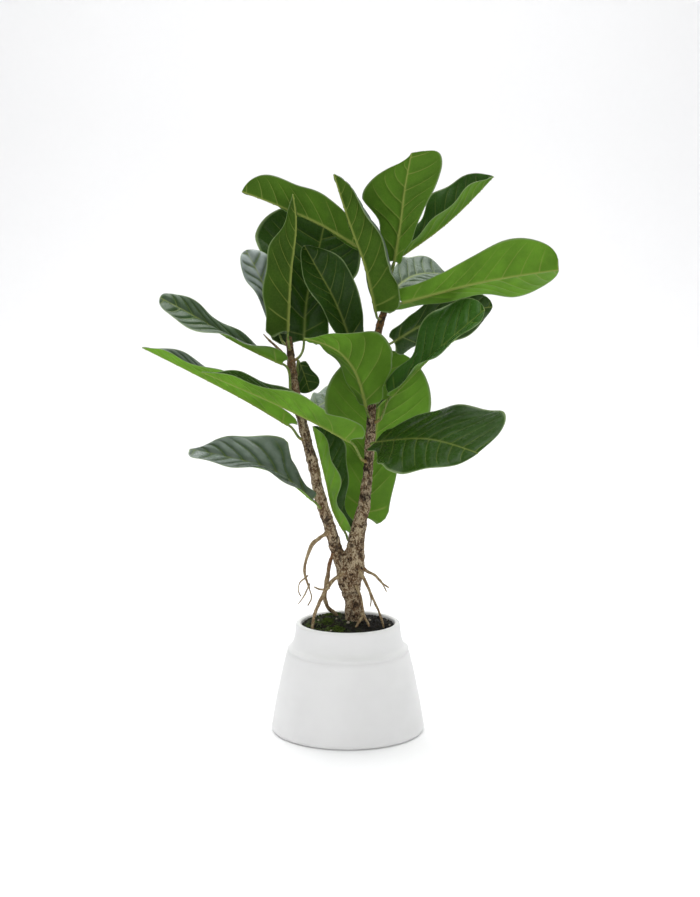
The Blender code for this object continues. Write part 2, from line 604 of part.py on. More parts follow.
def stalk_rings(leaf, corners):
    """Rings of the stalk, from its seat beside the stem to the blade's base, on a cubic curve."""
    u = np.array([0.0, 0.02])
    midrib, tangents, normals, sides = blade_frames(leaf, u)
    seat, stem_axis, stem_radius = stem_at(leaf.stem, leaf.height)
    outward = midrib[0] - seat
    outward = unit(outward - stem_axis * np.dot(outward, stem_axis))
    start = seat + outward * (stem_radius + SEAT_GAP)
    end = midrib[0] - tangents[0] * 2.0 * MM
    reach = 0.4 * np.linalg.norm(end - start)
    t = np.linspace(0.0, 1.0, STALK_RINGS)[:, None]
    path = (
        (1 - t) ** 3 * start
        + 3 * (1 - t) ** 2 * t * (start + outward * reach)
        + 3 * (1 - t) * t**2 * (end - tangents[0] * reach)
        + t**3 * end
    )
    direction = np.gradient(path, axis=0)
    direction[0] = outward
    direction[-1] = tangents[0]
    direction = unit(direction)
    side = sides[0]
    rings = []
    shares = np.linspace(0.0, 1.0, STALK_RINGS)
    frames = []
    for tangent in direction[::-1]:
        side = unit(side - tangent * np.dot(side, tangent))
        frames.append((side, np.cross(side, tangent)))
    for (side, up), centre, share in zip(frames[::-1], path, shares):
        radius = STALK_SEAT_RADIUS + (STALK_RADIUS - STALK_SEAT_RADIUS) * share
        radius = radius * min(1.0, leaf.width / 20.0)
        ring = centre - radius * np.cos(corners)[:, None] * side + radius * np.sin(corners)[:, None] * up
        rings.append(ring)
    return rings


def build_leaf(leaf, material):
    """A leaf as one closed body: a round stalk that opens into the blade."""
    columns = 2 * LEAF_HALF_COLUMNS
    over = np.linspace(0.0, math.pi, columns + 1)
    under = np.linspace(math.pi, math.tau, columns + 1)[1:-1]
    corners = np.concatenate([over, under])
    rings = stalk_rings(leaf, corners) + list(blade_rings(leaf))
    midrib, tangents, _, _ = blade_frames(leaf, np.linspace(0.0, 1.0, 20))
    tip = midrib[-1] + tangents[-1] * 0.6 * MM
    return add_object(leaf.name, loft(rings, end=tip), material, sharp_angle=60.0)


def main():
    clear_scene()
    ceramic = finish("ceramic", CERAMIC)
    soil = finish("soil", SOIL)
    moss = finish("moss", MOSS)
    bark = finish("bark", BARK)
    root = finish("root", ROOT)
    green = finish("leaf_green", LEAF_GREEN)
    build_pot(ceramic)
    build_soil(soil)
    build_moss(moss)
    build_stems(bark)
    build_roots(root)
    build_twigs(root)
    for leaf in LEAVES:
        build_leaf(leaf, green)


main()
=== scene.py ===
"""Potted fiddle leaf fig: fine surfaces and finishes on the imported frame.

Metres, +Z up. The origin is the middle of the pot's base, and the plant's front faces -Y.
Tables are in millimetres and are scaled by MM.
"""

import math
from itertools import product
from typing import NamedTuple

import bpy
import numpy as np
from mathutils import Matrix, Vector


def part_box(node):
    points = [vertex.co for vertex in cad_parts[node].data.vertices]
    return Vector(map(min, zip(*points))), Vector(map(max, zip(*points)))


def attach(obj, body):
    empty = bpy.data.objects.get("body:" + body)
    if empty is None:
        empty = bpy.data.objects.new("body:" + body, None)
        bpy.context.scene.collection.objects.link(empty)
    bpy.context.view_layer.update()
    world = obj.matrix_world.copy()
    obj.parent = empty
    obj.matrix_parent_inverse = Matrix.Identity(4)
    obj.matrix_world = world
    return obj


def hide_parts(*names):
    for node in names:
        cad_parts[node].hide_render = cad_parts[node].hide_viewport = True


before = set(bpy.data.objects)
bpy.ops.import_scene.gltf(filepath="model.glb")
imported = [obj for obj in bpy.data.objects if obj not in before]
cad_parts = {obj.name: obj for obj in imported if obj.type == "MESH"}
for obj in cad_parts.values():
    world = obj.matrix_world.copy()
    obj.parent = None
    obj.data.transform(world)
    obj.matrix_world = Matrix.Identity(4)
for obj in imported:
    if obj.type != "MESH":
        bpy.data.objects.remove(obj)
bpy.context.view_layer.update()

bl_info = {
    "name": "Potted Fiddle Leaf Fig",
    "version": (1, 0, 0),
    "blender": (4, 5, 0),
    "location": "View3D > Sidebar > Fig",
    "description": "Grows the leaves, wood, roots, soil and pot of a fiddle leaf fig around its frame",
    "category": "Object",
}

MM = 0.001
BODY = "root"
POT_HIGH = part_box("pot")[1]

X_AXIS = np.array((1.0, 0.0, 0.0))
Y_AXIS = np.array((0.0, 1.0, 0.0))
Z_AXIS = np.array((0.0, 0.0, 1.0))

# Pot: a wide cone with a round shoulder and a narrower collar, as (radius, height) in millimetres.
POT_OUTLINE = (
    (0, 0), (60, 0), (84.0, 0), (86.9, 1.1), (88.2, 4.0), (87.7, 8), (83.2, 36), (78.7, 58), (75.7, 72),
    (73.8, 80), (72.4, 86), (71.5, 89.6), (70.5, 92.0), (69.8, 93.4), (69.7, 94.3), (70.1, 95.4),
    (70.0, 96.4), (69.2, 97.5), (67.4, 99.0), (65.6, 100.4), (63.9, 102.8), (62.7, 106.2), (61.7, 111),
    (60.2, 121),
)
# Painted shade in the groove under the shoulder: where it lies and how wide it is.
GROOVE_HEIGHT = 94.5 * MM
GROOVE_WIDTH = 0.0019
GROOVE_RADIUS = 0.066  # what is nearer to the axis at that height is the pot's inside
WHEEL_MARK = 0.0023  # a mark of turning recurs at 2 pi times this height
POT_WALL = 6.4 * MM
POT_FLOOR = 7.0 * MM
SOIL_EDGE_HEIGHT = 122.5 * MM
SOIL_DOME = 7.0 * MM
SOIL_WALL_HEIGHTS = (POT_FLOOR + 0.5 * MM, 0.04, 0.08, 0.1, 0.116)
CLODS = ((0.6, 0.009), (0.35, 0.0042), (0.2, 0.0019))  # (share of the height, size) of each kind
CRUMB_SIZES = (0.5 * MM, 2.4 * MM)
SPINDLES = 460  # on a moss pad

# Wood: (x, y, z, radius) along each limb. The left limb starts inside the trunk.
LIMB_RIGHT = (
    (8, 0, 108, 10.4), (7.5, 0, 130, 10.6), (6.8, 0, 146, 9.7), (5.5, 0, 160, 8.8), (4.4, 0, 172, 10.4),
    (4.6, 0, 182, 12.6), (5.6, 0, 192, 13.0), (7.0, 0, 203, 11.4), (9, 0, 218, 9.4), (14, 2, 244, 7.2),
    (19, 2, 268, 5.9), (23, 2, 305, 5.0), (26, 2, 358, 4.8), (28, 2, 406, 4.4), (33, 2, 456, 3.9),
    (37, 2, 472, 3.5), (45, 3, 496, 3.0), (49, 4, 512, 2.0),
)
LIMB_LEFT = (
    (1, 0, 162, 5.6), (-2, 0, 176, 7.0), (-6.4, 0, 190, 7.4), (-11, 0, 203, 6.6), (-15, 0, 217, 6.2),
    (-19, -2, 233, 6.1), (-31, -4, 269, 5.8), (-40, -5, 313, 5.3), (-52, -5, 360, 4.8),
    (-59, -6, 393, 4.5), (-63, -7, 420, 4.1), (-65, -8, 441, 3.5), (-66, -9, 456, 2.4),
)
SEAM_HEIGHT = 162.0 * MM  # where the trunk's bark has a seam
SEAM_SWAY = 0.0012
SEAM_WIDTH = 0.0013
SEAM_DEPTH = 0.0011
SEAM_STEP = 0.0006  # how much prouder the bark is above the seam
FILLET = 0.0034  # how far the limbs swell where they meet
FILLET_REACH = 0.0075
YOUNG_HEIGHT = 0.36  # where the bark starts to be young
YOUNG_SPAN = 0.11  # it is all young this much higher
SCAR_SPACING = 0.0115
ROOT_INSET = 3.5 * MM  # how deep a root starts in the wood
ROOT_STEP = 0.8 * MM  # from one ring of a root to the next

# Roots and stubs: runs of (x, y, z, radius) from the wood outwards. A root's first run is the root
# itself, and the others are its side shoots.
ROOTS = {
    "root_left_arch": (
        ((-24.6, -6, 231, 2.4), (-33, -10, 226, 2.6), (-40, -13, 220, 2.4), (-44, -15, 211, 2.0),
         (-48, -16, 199, 1.8), (-49, -16, 188, 1.6), (-47, -15, 178, 1.4), (-44, -14, 168, 1.0)),
        ((-48, -16, 182, 0.9), (-55, -18, 176, 0.8), (-56, -19, 168, 0.7), (-53, -18, 160, 0.6)),
        ((-45, -14, 171, 0.9), (-50, -16, 160, 0.8), (-57, -18, 151, 0.6)),
        ((-45, -14, 171, 0.9), (-42, -12, 161, 0.8), (-46, -10, 147, 0.7)),
    ),
    "root_left_back": (
        ((-17.6, -3, 204, 1.8), (-20.5, -4, 198, 2.3), (-23, -5, 180, 2.4), (-25.5, -3, 164, 2.3),
         (-26, 1, 152, 2.2), (-23, 9, 140, 2.1), (-15, 18, 132, 2.0), (-9, 23, 122, 1.8)),
    ),
    "root_left_front": (
        ((-7.6, -10.4, 184, 1.9), (-19, -17, 177, 2.4), (-26, -22, 167, 2.3), (-33, -26, 153, 2.1),
         (-38, -27, 141, 1.9), (-41, -26, 120, 1.6)),
        ((-24, -21, 170, 1.1), (-32, -16, 168, 0.9), (-39, -17, 171, 0.8)),
    ),
    "root_right_free": (
        ((18.4, -5.4, 189, 1.7), (30, -11, 183, 1.5), (39, -15, 175, 1.2), (46.5, -18, 170, 0.8)),
        ((38, -15, 176, 1.0), (41, -17, 171, 0.8), (44, -18, 165, 0.6)),
    ),
    "root_right_long": (
        ((13.6, -9.6, 187, 1.7), (20, -16, 177, 1.7), (26, -20, 163, 1.6), (32, -22, 150, 1.4),
         (37, -23, 138, 1.3), (42, -23, 119, 1.0)),
        ((25.5, -20, 164, 0.9), (27, -21, 156, 0.8), (25.5, -21, 149, 0.7)),
    ),
    "root_front_fork": (
        ((10.5, -9.6, 168, 1.2), (14, -12.6, 160, 1.4), (16.4, -13.6, 148, 1.6), (17, -15.4, 138, 1.8),
         (12.5, -22, 131, 1.6), (6.5, -29, 124, 1.1)),
        ((17, -15.2, 138.5, 1.6), (21.5, -22, 131, 1.5), (26.5, -28.5, 123, 1.1)),
    ),
}
TWIGS = {
    "twig_left": (
        (-68.9, -9.4, 433, 1.1), (-75, -14, 440, 1.2), (-84, -18, 449, 1.3), (-94, -22, 460, 0.8)),
}

# Moss pads: (direction in degrees, distance from the axis, half-length, half-width, thickness).
MOSS_PADS = {
    "moss_left": (196, 25, 13, 9, 2.2),
    "moss_front": (252, 39, 12, 6, 1.8),
    "moss_back": (118, 36, 13, 7, 2.0),
}

# The noise and the scattering of each kind of piece start from a seed of its own.
BARK_SEED = 3
CLOD_SEED = 41
MOSS_FILM_SEED = 47
CRUMB_SEED = 53
MOSS_PAD_SEED = 60
ROOT_SEED = 80
TWIG_SEED = 140
LEAF_SEED = 200


class Leaf(NamedTuple):
    """One leaf: a stalk and a blade. Lengths are in millimetres and angles in degrees.

    Left and right are seen on the upper face with the tip ahead. A half is (its width against
    half the leaf's width, where it is widest from 0 at the base to 1 at the tip, how it closes
    at the tip: 0.3 is blunt and 1 is pointed).
    """

    name: str
    stem: str  # the stem that carries it
    height: float  # of its seat on that stem
    midrib: tuple  # points from the blade's base to its tip
    width: float
    roll: float = 0.0  # turns the upper face about the line from base to tip
    twist: float = 0.0  # further turn between base and tip
    fold: tuple = (15.0, 5.0)  # how far the halves are raised, at the base and at the tip
    cup: float = 8.0  # further rise from midrib to margin
    left: tuple = (1.0, 0.72, 0.5)
    right: tuple = (1.0, 0.72, 0.5)
    curl: float = 0.0  # roll of the left margin beyond the blade's first third
    heel: float = 0.3  # how far the lobes reach back past the blade's base
    toe: tuple = (0.0, 0.0)  # how far the left and right halves reach on past a notched tip
    waist: float = 0.62
    lobe: float = 0.55
    ruffle: float = 3.0
    waves: float = 2.5
    phase: float = 0.0
    quilt: float = 1.0  # how strongly the blade is quilted
    fresh: float = 0.06  # how young its upper face's green is
    shadow: float = 0.4  # painted shade: how much its underside is darkened
    painted_sheen: float = 0.0  # painted sheen: how much a painted reflection silvers its upper face


LEAVES = (
    Leaf("leaf_top_left", "right", 494,
         ((10, 5, 556), (-27, -8, 579), (-70, -28, 599), (-115, -50, 617)),
         78, roll=40, fold=(42, 40), cup=6, left=(0.78, 0.66, 0.5), right=(0.8, 0.5, 0.7),
         waist=0.95, lobe=0.7, waves=2.2, phase=0.3, shadow=0.74),
    Leaf("leaf_left_upright", "left", 442,
         ((-67, -18, 463), (-63, -33, 526), (-57, -44, 591), (-60, -48, 614)),
         70, roll=34, fold=(42, 42), left=(0.8, 0.4, 1.2), right=(0.85, 0.4, 1.3),
         waist=0.95, lobe=0.9, waves=3.0, phase=0.1, shadow=0.95),
    Leaf("leaf_centre_upright", "right", 474,
         ((31, -12, 484), (18, -30, 539), (4, -45, 577), (-15, -70, 635)),
         80, roll=-3, twist=20, fold=(36, 50), cup=4, left=(0.95, 0.3, 0.8), right=(0.5, 0.6, 0.7),
         curl=-155, heel=0.1, waist=0.95, lobe=0.75, shadow=0.88, painted_sheen=0.5),
    Leaf("leaf_top_right", "right", 504,
         ((52, -5, 540), (58, -20, 580), (63, -37, 624), (69, -50, 658)),
         92, roll=-33, fold=(14, 6), cup=6, left=(0.76, 0.86, 0.3), right=(1.08, 0.5, 1.7), heel=0.1,
         toe=(0.42, 0.0), waist=0.5, lobe=0.2, shadow=0.7),
    Leaf("leaf_top_right_back", "right", 508, ((58, 14, 544), (110, 19, 581), (164, 26, 634)),
         78, roll=16, fold=(48, 36), cup=10, left=(0.95, 0.58, 0.75), right=(0.9, 0.6, 0.8),
         fresh=0.35, shadow=0.5),
    Leaf("leaf_right_long", "right", 488,
         ((61, -12, 494), (100, -20, 505), (132, -28, 514), (231, -45, 532)),
         84, roll=-62, fold=(30, 26), left=(1.05, 0.72, 0.6), right=(0.96, 0.7, 0.25),
         waist=0.5, lobe=0.4, shadow=0.4),
    Leaf("leaf_right_back", "right", 490, ((51, 20, 506), (78, 70, 521), (117, 120, 520)),
         66, roll=30, fold=(8, 4), cup=6, painted_sheen=0.4),
    Leaf("leaf_right_shaded", "right", 448, ((52, 8, 449), (105, 24, 476), (166, 46, 486)),
         96, roll=105, fold=(-4, -4), cup=-4, left=(0.55, 0.5, 0.5), right=(0.82, 0.5, 0.6), heel=0.1),
    Leaf("leaf_right_folded", "right", 358, ((49, -4, 388), (94, -34, 437), (149, -60, 489)),
         90, roll=38, fold=(44, 0), cup=6, left=(1.2, 0.64, 0.5), right=(0.8, 0.6, 0.7), heel=0.0,
         waist=0.38, lobe=0.3, fresh=0.8, shadow=0.4),
    Leaf("leaf_front", "right", 364, ((20, -17, 378), (5, -42, 425), (-19, -72, 450), (-47, -85, 460)),
         90, roll=28, fold=(32, 28), cup=6, left=(1.1, 0.34, 1.9), right=(0.6, 0.5, 0.8), heel=0.05,
         waist=0.92, lobe=0.45, quilt=0.8, shadow=0.52),
    Leaf("leaf_back_broad", "right", 257, ((20, 44, 240), (32, 38, 340), (43, 27, 438)),
         126, roll=-45, fold=(10, 4), cup=4, left=(1.0, 0.66, 0.5), right=(1.0, 0.66, 0.5), heel=0.12,
         waist=0.5, lobe=0.46, quilt=0.45, shadow=0.5),
    Leaf("leaf_right_low", "right", 333,
         ((31, -16, 337), (51, -35, 342), (83, -68, 348), (138, -130, 341)),
         126, roll=31, fold=(5, 0), cup=-4, left=(1.1, 0.8, 0.34), right=(0.95, 0.45, 0.7), heel=0.02,
         waist=0.82, lobe=0.3, fresh=0.12, quilt=0.6),
    Leaf("leaf_left_low", "left", 262,
         ((-40, -21, 272), (-84, -27, 306), (-143, -37, 325), (-176, -42, 333)),
         80, roll=-26, fold=(24, 16), left=(1.1, 0.9, 0.22), right=(1.1, 0.36, 1.2), heel=0.0,
         toe=(0.1, 0.0), waist=0.62, lobe=0.2, quilt=1.2, painted_sheen=0.75),
    Leaf("leaf_left_back_long", "left", 340,
         ((-68, -14, 357), (-113, -28, 386), (-161, -40, 413), (-225, -60, 448)),
         60, roll=-6, fold=(38, 28), left=(0.9, 0.5, 0.85), right=(0.74, 0.6, 0.7), waist=0.8,
         shadow=0.2, painted_sheen=0.5),
    Leaf("leaf_left_front_long", "right", 313,
         ((1, -20, 339), (-40, -52, 366), (-62, -68, 379), (-155, -120, 427)),
         84, roll=-4, fold=(38, 30), left=(0.7, 0.32, 1.0), right=(0.86, 0.5, 1.0), waist=0.85, lobe=0.9,
         shadow=0.36),
    Leaf("leaf_left_high", "left", 393,
         ((-74, -16, 426), (-128, -24, 453), (-170, -33, 480), (-207, -40, 501)),
         70, roll=-25, twist=-50, fold=(35, 5), cup=4, left=(1.0, 0.55, 0.5), right=(0.5, 0.8, 0.3),
         heel=0.1, waist=0.8, painted_sheen=0.2, quilt=1.2),
    Leaf("leaf_left_small", "left", 408, ((-55, 5, 425), (-50, 14, 411), (-44, 20, 390)),
         30, roll=120, fold=(14, 10), heel=0.05, ruffle=0.5, quilt=0.5),
    Leaf("leaf_left_back_high", "left", 446, ((-77, 1, 458), (-92, 11, 505), (-116, 30, 551)),
         42, roll=-40, fold=(8, 4), left=(0.8, 0.7, 0.5), heel=0.1, quilt=1.4, painted_sheen=1.1),
    Leaf("leaf_centre_dark", "right", 415, ((5, -6, 443), (-17, -2, 500), (-35, 0, 532), (-49, 4, 557)),
         70, roll=-60, fold=(20, 14), cup=10, left=(0.72, 0.6, 0.6), right=(0.9, 0.6, 0.8), waist=0.8,
         quilt=0.6),
    Leaf("leaf_back_tall", "left", 428, ((-50, 18, 449), (-47, 30, 495), (-34, 48, 550), (-23, 62, 598)),
         136, roll=32, fold=(10, 4), cup=4, left=(1.1, 0.68, 0.5), right=(0.75, 0.6, 0.6), heel=0.1,
         waist=0.5, quilt=0.6),
    Leaf("leaf_back_low", "left", 356, ((-48, 30, 364), (-22, 80, 374), (5, 130, 383)),
         56, fold=(6, 4), painted_sheen=0.5),
    Leaf("leaf_trunk_folded", "right", 218,
         ((-5, 15, 231), (-15, 14, 250), (-25, 11, 290), (-40, 10, 352)),
         84, roll=-15, fold=(34, 34), left=(0.8, 0.6, 0.8), right=(1.0, 0.6, 0.6), heel=0.24, lobe=0.42,
         fresh=0.4, shadow=0.15),
    Leaf("leaf_bud", "right", 370, ((34, 7, 374), (38, 8, 378), (43, 9, 382)),
         8, fold=(30, 30), ruffle=0.0),
)

LEAF_SLOTS = ("top", "under", "stalk")
HALF_COLUMNS = 22  # columns from midrib to margin
RING_SIDES = {"stalk": 14, "root": 18, "left": 64, "right": 88, "pot": 200, "soil": 240}
LOBE_PLACE = 0.07  # where a blade's lobes are fullest, from 0 at its base to 1 at its tip
LOBE_SPREAD = 0.12
WAIST_PLACE = 0.28  # where a blade starts to widen
TIP_SHARE = 0.015  # of the half-width, left at the very tip
MARGIN_WIDTH = 0.6 * MM
STALK_RADIUS = 1.4 * MM
STALK_SEAT_RADIUS = 1.9 * MM
STALK_INSET = 3.0 * MM  # how deep a stalk starts in the stem, at most

# Side veins, against the distance from one to the next.
VEIN_STAGGER = 0.22  # how far one half's veins start after the other's
VEIN_START = 0.35  # from the blade's base to the first vein
VEIN_END = 0.25  # from the last vein to the tip
VEIN_VALLEY = 0.17  # how far the quilting sinks on each side of a vein
VEIN_LEAN = 0.62  # how far a vein leans towards the tip, against the blade's length


# ---------------------------------------------------------------- sizes and colours


class FigLeafSettings(bpy.types.PropertyGroup):
    """Sizes and colours of the leaves."""

    thickness: bpy.props.FloatProperty(
        name="Thickness", description="Thickness of a blade between its veins",
        default=0.0006, unit="LENGTH")
    quilt: bpy.props.FloatProperty(
        name="Quilting", description="Height of the swelling between two side veins",
        default=0.0016, unit="LENGTH")
    rib: bpy.props.FloatProperty(
        name="Midrib", description="Height of the midrib under the blade's base",
        default=0.0016, unit="LENGTH")
    vein: bpy.props.FloatProperty(
        name="Side vein", description="Height of a side vein under the blade",
        default=0.0005, unit="LENGTH")
    vein_spacing: bpy.props.FloatProperty(
        name="Vein spacing", description="Distance between side veins on the midrib",
        default=0.021, unit="LENGTH")
    unevenness: bpy.props.FloatProperty(
        name="Unevenness", description="Height of the slow swells over a blade",
        default=0.0016, unit="LENGTH")
    top_colour: bpy.props.FloatVectorProperty(
        name="Upper face", description="Colour of a grown leaf's upper face", subtype="COLOR",
        default=(0.017, 0.050, 0.0045))
    fresh_colour: bpy.props.FloatVectorProperty(
        name="Fresh upper face", description="Colour of the upper face where it is youngest",
        subtype="COLOR", default=(0.035, 0.110, 0.014))
    # Painted sheen: the colour that stands for light reflected off some upper faces.
    painted_sheen_colour: bpy.props.FloatVectorProperty(
        name="Bloom", description="Colour of the waxy bloom on some upper faces", subtype="COLOR",
        default=(0.29, 0.335, 0.32))
    under_colour: bpy.props.FloatVectorProperty(
        name="Underside", description="Colour of a leaf's underside", subtype="COLOR",
        default=(0.192, 0.435, 0.034))
    vein_colour: bpy.props.FloatVectorProperty(
        name="Veins", description="Colour of the veins", subtype="COLOR", default=(0.26, 0.31, 0.07))
    margin_colour: bpy.props.FloatVectorProperty(
        name="Margin", description="Colour of the pale line round a blade", subtype="COLOR",
        default=(0.21, 0.29, 0.12))


class FigWoodSettings(bpy.types.PropertyGroup):
    """Sizes and colours of the trunk, the stems and the roots."""

    relief: bpy.props.FloatProperty(
        name="Bark relief", description="Depth of the bark's lumps and pits",
        default=0.0013, unit="LENGTH")
    scar: bpy.props.FloatProperty(
        name="Leaf scars", description="Height of the rings that fallen leaves left",
        default=0.0004, unit="LENGTH")
    pale_colour: bpy.props.FloatVectorProperty(
        name="Pale bark", description="Colour of the bark's pale flakes", subtype="COLOR",
        default=(0.44, 0.355, 0.23))
    brown_colour: bpy.props.FloatVectorProperty(
        name="Brown bark", description="Colour of the bark under its flakes", subtype="COLOR",
        default=(0.145, 0.085, 0.042))
    dark_colour: bpy.props.FloatVectorProperty(
        name="Dark bark", description="Colour of the bark's pits", subtype="COLOR",
        default=(0.014, 0.009, 0.006))
    rust_colour: bpy.props.FloatVectorProperty(
        name="Young bark", description="Colour of the young bark near the top", subtype="COLOR",
        default=(0.24, 0.115, 0.038))
    root_colour: bpy.props.FloatVectorProperty(
        name="Root skin", description="Colour of the roots' skin", subtype="COLOR",
        default=(0.42, 0.33, 0.19))


class FigPotSettings(bpy.types.PropertyGroup):
    """Sizes and colours of the pot and what fills it."""

    glaze_colour: bpy.props.FloatVectorProperty(
        name="Ceramic", description="Colour of the pot", subtype="COLOR", default=(0.84, 0.838, 0.83))
    hand_marks: bpy.props.FloatProperty(
        name="Wheel marks", description="Depth of the marks of turning", default=0.00008, unit="LENGTH")
    clod: bpy.props.FloatProperty(
        name="Clods", description="Height of the soil's clods", default=0.0028, unit="LENGTH")
    crumbs: bpy.props.IntProperty(
        name="Crumbs", description="Number of loose crumbs on the soil", default=900, min=0)
    soil_colour: bpy.props.FloatVectorProperty(
        name="Soil", description="Colour of damp soil", subtype="COLOR", default=(0.0065, 0.0058, 0.0045))
    moss_colour: bpy.props.FloatVectorProperty(
        name="Moss", description="Colour of the moss", subtype="COLOR", default=(0.052, 0.080, 0.012))


class FigStageSettings(bpy.types.PropertyGroup):
    """The floor, the lights and the camera."""

    floor_colour: bpy.props.FloatVectorProperty(
        name="Floor", description="Colour of the floor and the backdrop", subtype="COLOR",
        default=(0.92, 0.92, 0.92))
    overhead_power: bpy.props.FloatProperty(
        name="Overhead light", description="Power of the large light above",
        default=58.0, unit="POWER")
    fill_power: bpy.props.FloatProperty(
        name="Front light", description="Power of the left one of the two lights by the camera",
        default=12.0, unit="POWER")
    backdrop_power: bpy.props.FloatProperty(
        name="Backdrop light", description="Power of the light on the backdrop",
        default=10.0, unit="POWER")
    front_air: bpy.props.FloatProperty(
        name="Air in front", description="Brightness of the air behind the camera", default=0.16)
    back_air: bpy.props.FloatProperty(
        name="Air behind", description="Brightness of the air behind the plant", default=0.9)
    lens: bpy.props.FloatProperty(
        name="Lens", description="Focal length of the camera, in millimetres", default=71.3)
    camera_place: bpy.props.FloatVectorProperty(
        name="Camera", description="Place of the camera", subtype="TRANSLATION",
        default=(0.0023, -2.0, 0.61))
    camera_pitch: bpy.props.FloatProperty(
        name="Camera pitch", description="How far the camera looks down", subtype="ANGLE",
        default=math.radians(8.03))


# ---------------------------------------------------------------- curves, grids and noise


def unit(vectors):
    """Vectors scaled to length one along the last axis."""
    return vectors / np.maximum(np.linalg.norm(vectors, axis=-1, keepdims=True), 1e-12)


def smoothstep(x):
    """0 below 0, 1 above 1, and the cubic 3x^2 - 2x^3 between."""
    x = np.clip(x, 0.0, 1.0)
    return x * x * (3.0 - 2.0 * x)


def bell(x):
    """exp(-x^2): 1 at 0, and near 0 beyond 2."""
    return np.exp(-(x**2))


def even(count):
    """Even places from 0 to 1."""
    return np.linspace(0.0, 1.0, count)


def smooth_path(points, places):
    """A cubic Hermite curve through points, read at places from 0 to 1 along its chords."""
    points = np.asarray(points, float)
    knots = np.concatenate([[0.0], np.cumsum(np.linalg.norm(np.diff(points[:, :3], axis=0), axis=1))])
    knots /= knots[-1]
    steps = np.diff(knots)
    chords = np.diff(points, axis=0) / steps[:, None]
    slopes = np.zeros_like(points)
    weights = (steps[:-1] + steps[1:])[:, None]
    slopes[1:-1] = (chords[:-1] * steps[1:, None] + chords[1:] * steps[:-1, None]) / weights
    slopes[0] = 1.5 * chords[0] - 0.5 * slopes[1]
    slopes[-1] = 1.5 * chords[-1] - 0.5 * slopes[-2]
    span = np.clip(np.searchsorted(knots, places, side="right") - 1, 0, len(steps) - 1)
    width = steps[span][:, None]
    t = ((places - knots[span]) / steps[span])[:, None]
    return (
        (2 * t**3 - 3 * t**2 + 1) * points[span]
        + (t**3 - 2 * t**2 + t) * width * slopes[span]
        + (3 * t**2 - 2 * t**3) * points[span + 1]
        + (t**3 - t**2) * width * slopes[span + 1]
    )


def sampled(points, count):
    """A smooth curve through points in millimetres, read at even places, in metres."""
    return smooth_path(np.asarray(points, float) * MM, even(count))


def path_length(points):
    """Length of the chords between points."""
    return np.linalg.norm(np.diff(points[:, :3], axis=0), axis=1).sum()


def noise(points, size, seed):
    """Smooth noise from about -1 to 1: values on a lattice of the given size, blended by smoothsteps."""
    table = np.random.default_rng(seed).uniform(-1.0, 1.0, 4096)
    scaled = np.asarray(points, float) / size
    cell = np.floor(scaled).astype(np.int64)
    blend = smoothstep(scaled - cell)
    total = np.zeros(scaled.shape[:-1])
    for corner in product((0, 1), repeat=3):
        place = cell + corner
        key = (place[..., 0] * 73856093) ^ (place[..., 1] * 19349663) ^ (place[..., 2] * 83492791)
        share = np.prod(np.where(np.array(corner) == 1, blend, 1.0 - blend), axis=-1)
        total += table[key % 4096] * share
    return total


def spokes_round(path, count):
    """Unit vectors square to a path, count of them round each point, as (points, count, 3).

    The first is carried along the path with as little turning as possible, and the others are
    cos(turn) first + sin(turn) second, where the second is square to the first and the path.
    """
    tangents = unit(np.gradient(path, axis=0))
    side = np.cross(tangents[0], Y_AXIS)
    if np.linalg.norm(side) < 0.1:
        side = np.cross(tangents[0], X_AXIS)
    sides = []
    for tangent in tangents:
        side = unit(side - tangent * np.dot(side, tangent))
        sides.append(side)
    sides = np.array(sides)
    fronts = np.cross(tangents, sides)
    turn = np.linspace(0.0, math.tau, count, endpoint=False)
    return np.cos(turn)[:, None] * sides[:, None] + np.sin(turn)[:, None] * fronts[:, None]


def rings_round_z(radius, height, sides):
    """Rings about the Z axis from columns of radii and heights, as (rings, sides, 3)."""
    turn = np.linspace(0.0, math.tau, sides, endpoint=False)
    height = np.broadcast_to(height, (len(radius), sides))
    return np.stack([radius * np.cos(turn), radius * np.sin(turn), height], axis=-1)


def grid_quads(rows, columns, wrap=False, first=0):
    """Quads of a grid of points stored row by row. With wrap, the last column joins the first."""
    index = np.arange(rows * columns).reshape(rows, columns) + first
    if wrap:
        index = np.concatenate([index, index[:, :1]], axis=1)
    corners = (index[:-1, :-1], index[:-1, 1:], index[1:, 1:], index[1:, :-1])
    return np.stack(corners, axis=-1).reshape(-1, 4)


def fan(ring, apex):
    """Triangles from each edge of a closed ring of indices to an apex."""
    return np.stack([ring, np.roll(ring, -1), np.full(len(ring), apex)], axis=-1)


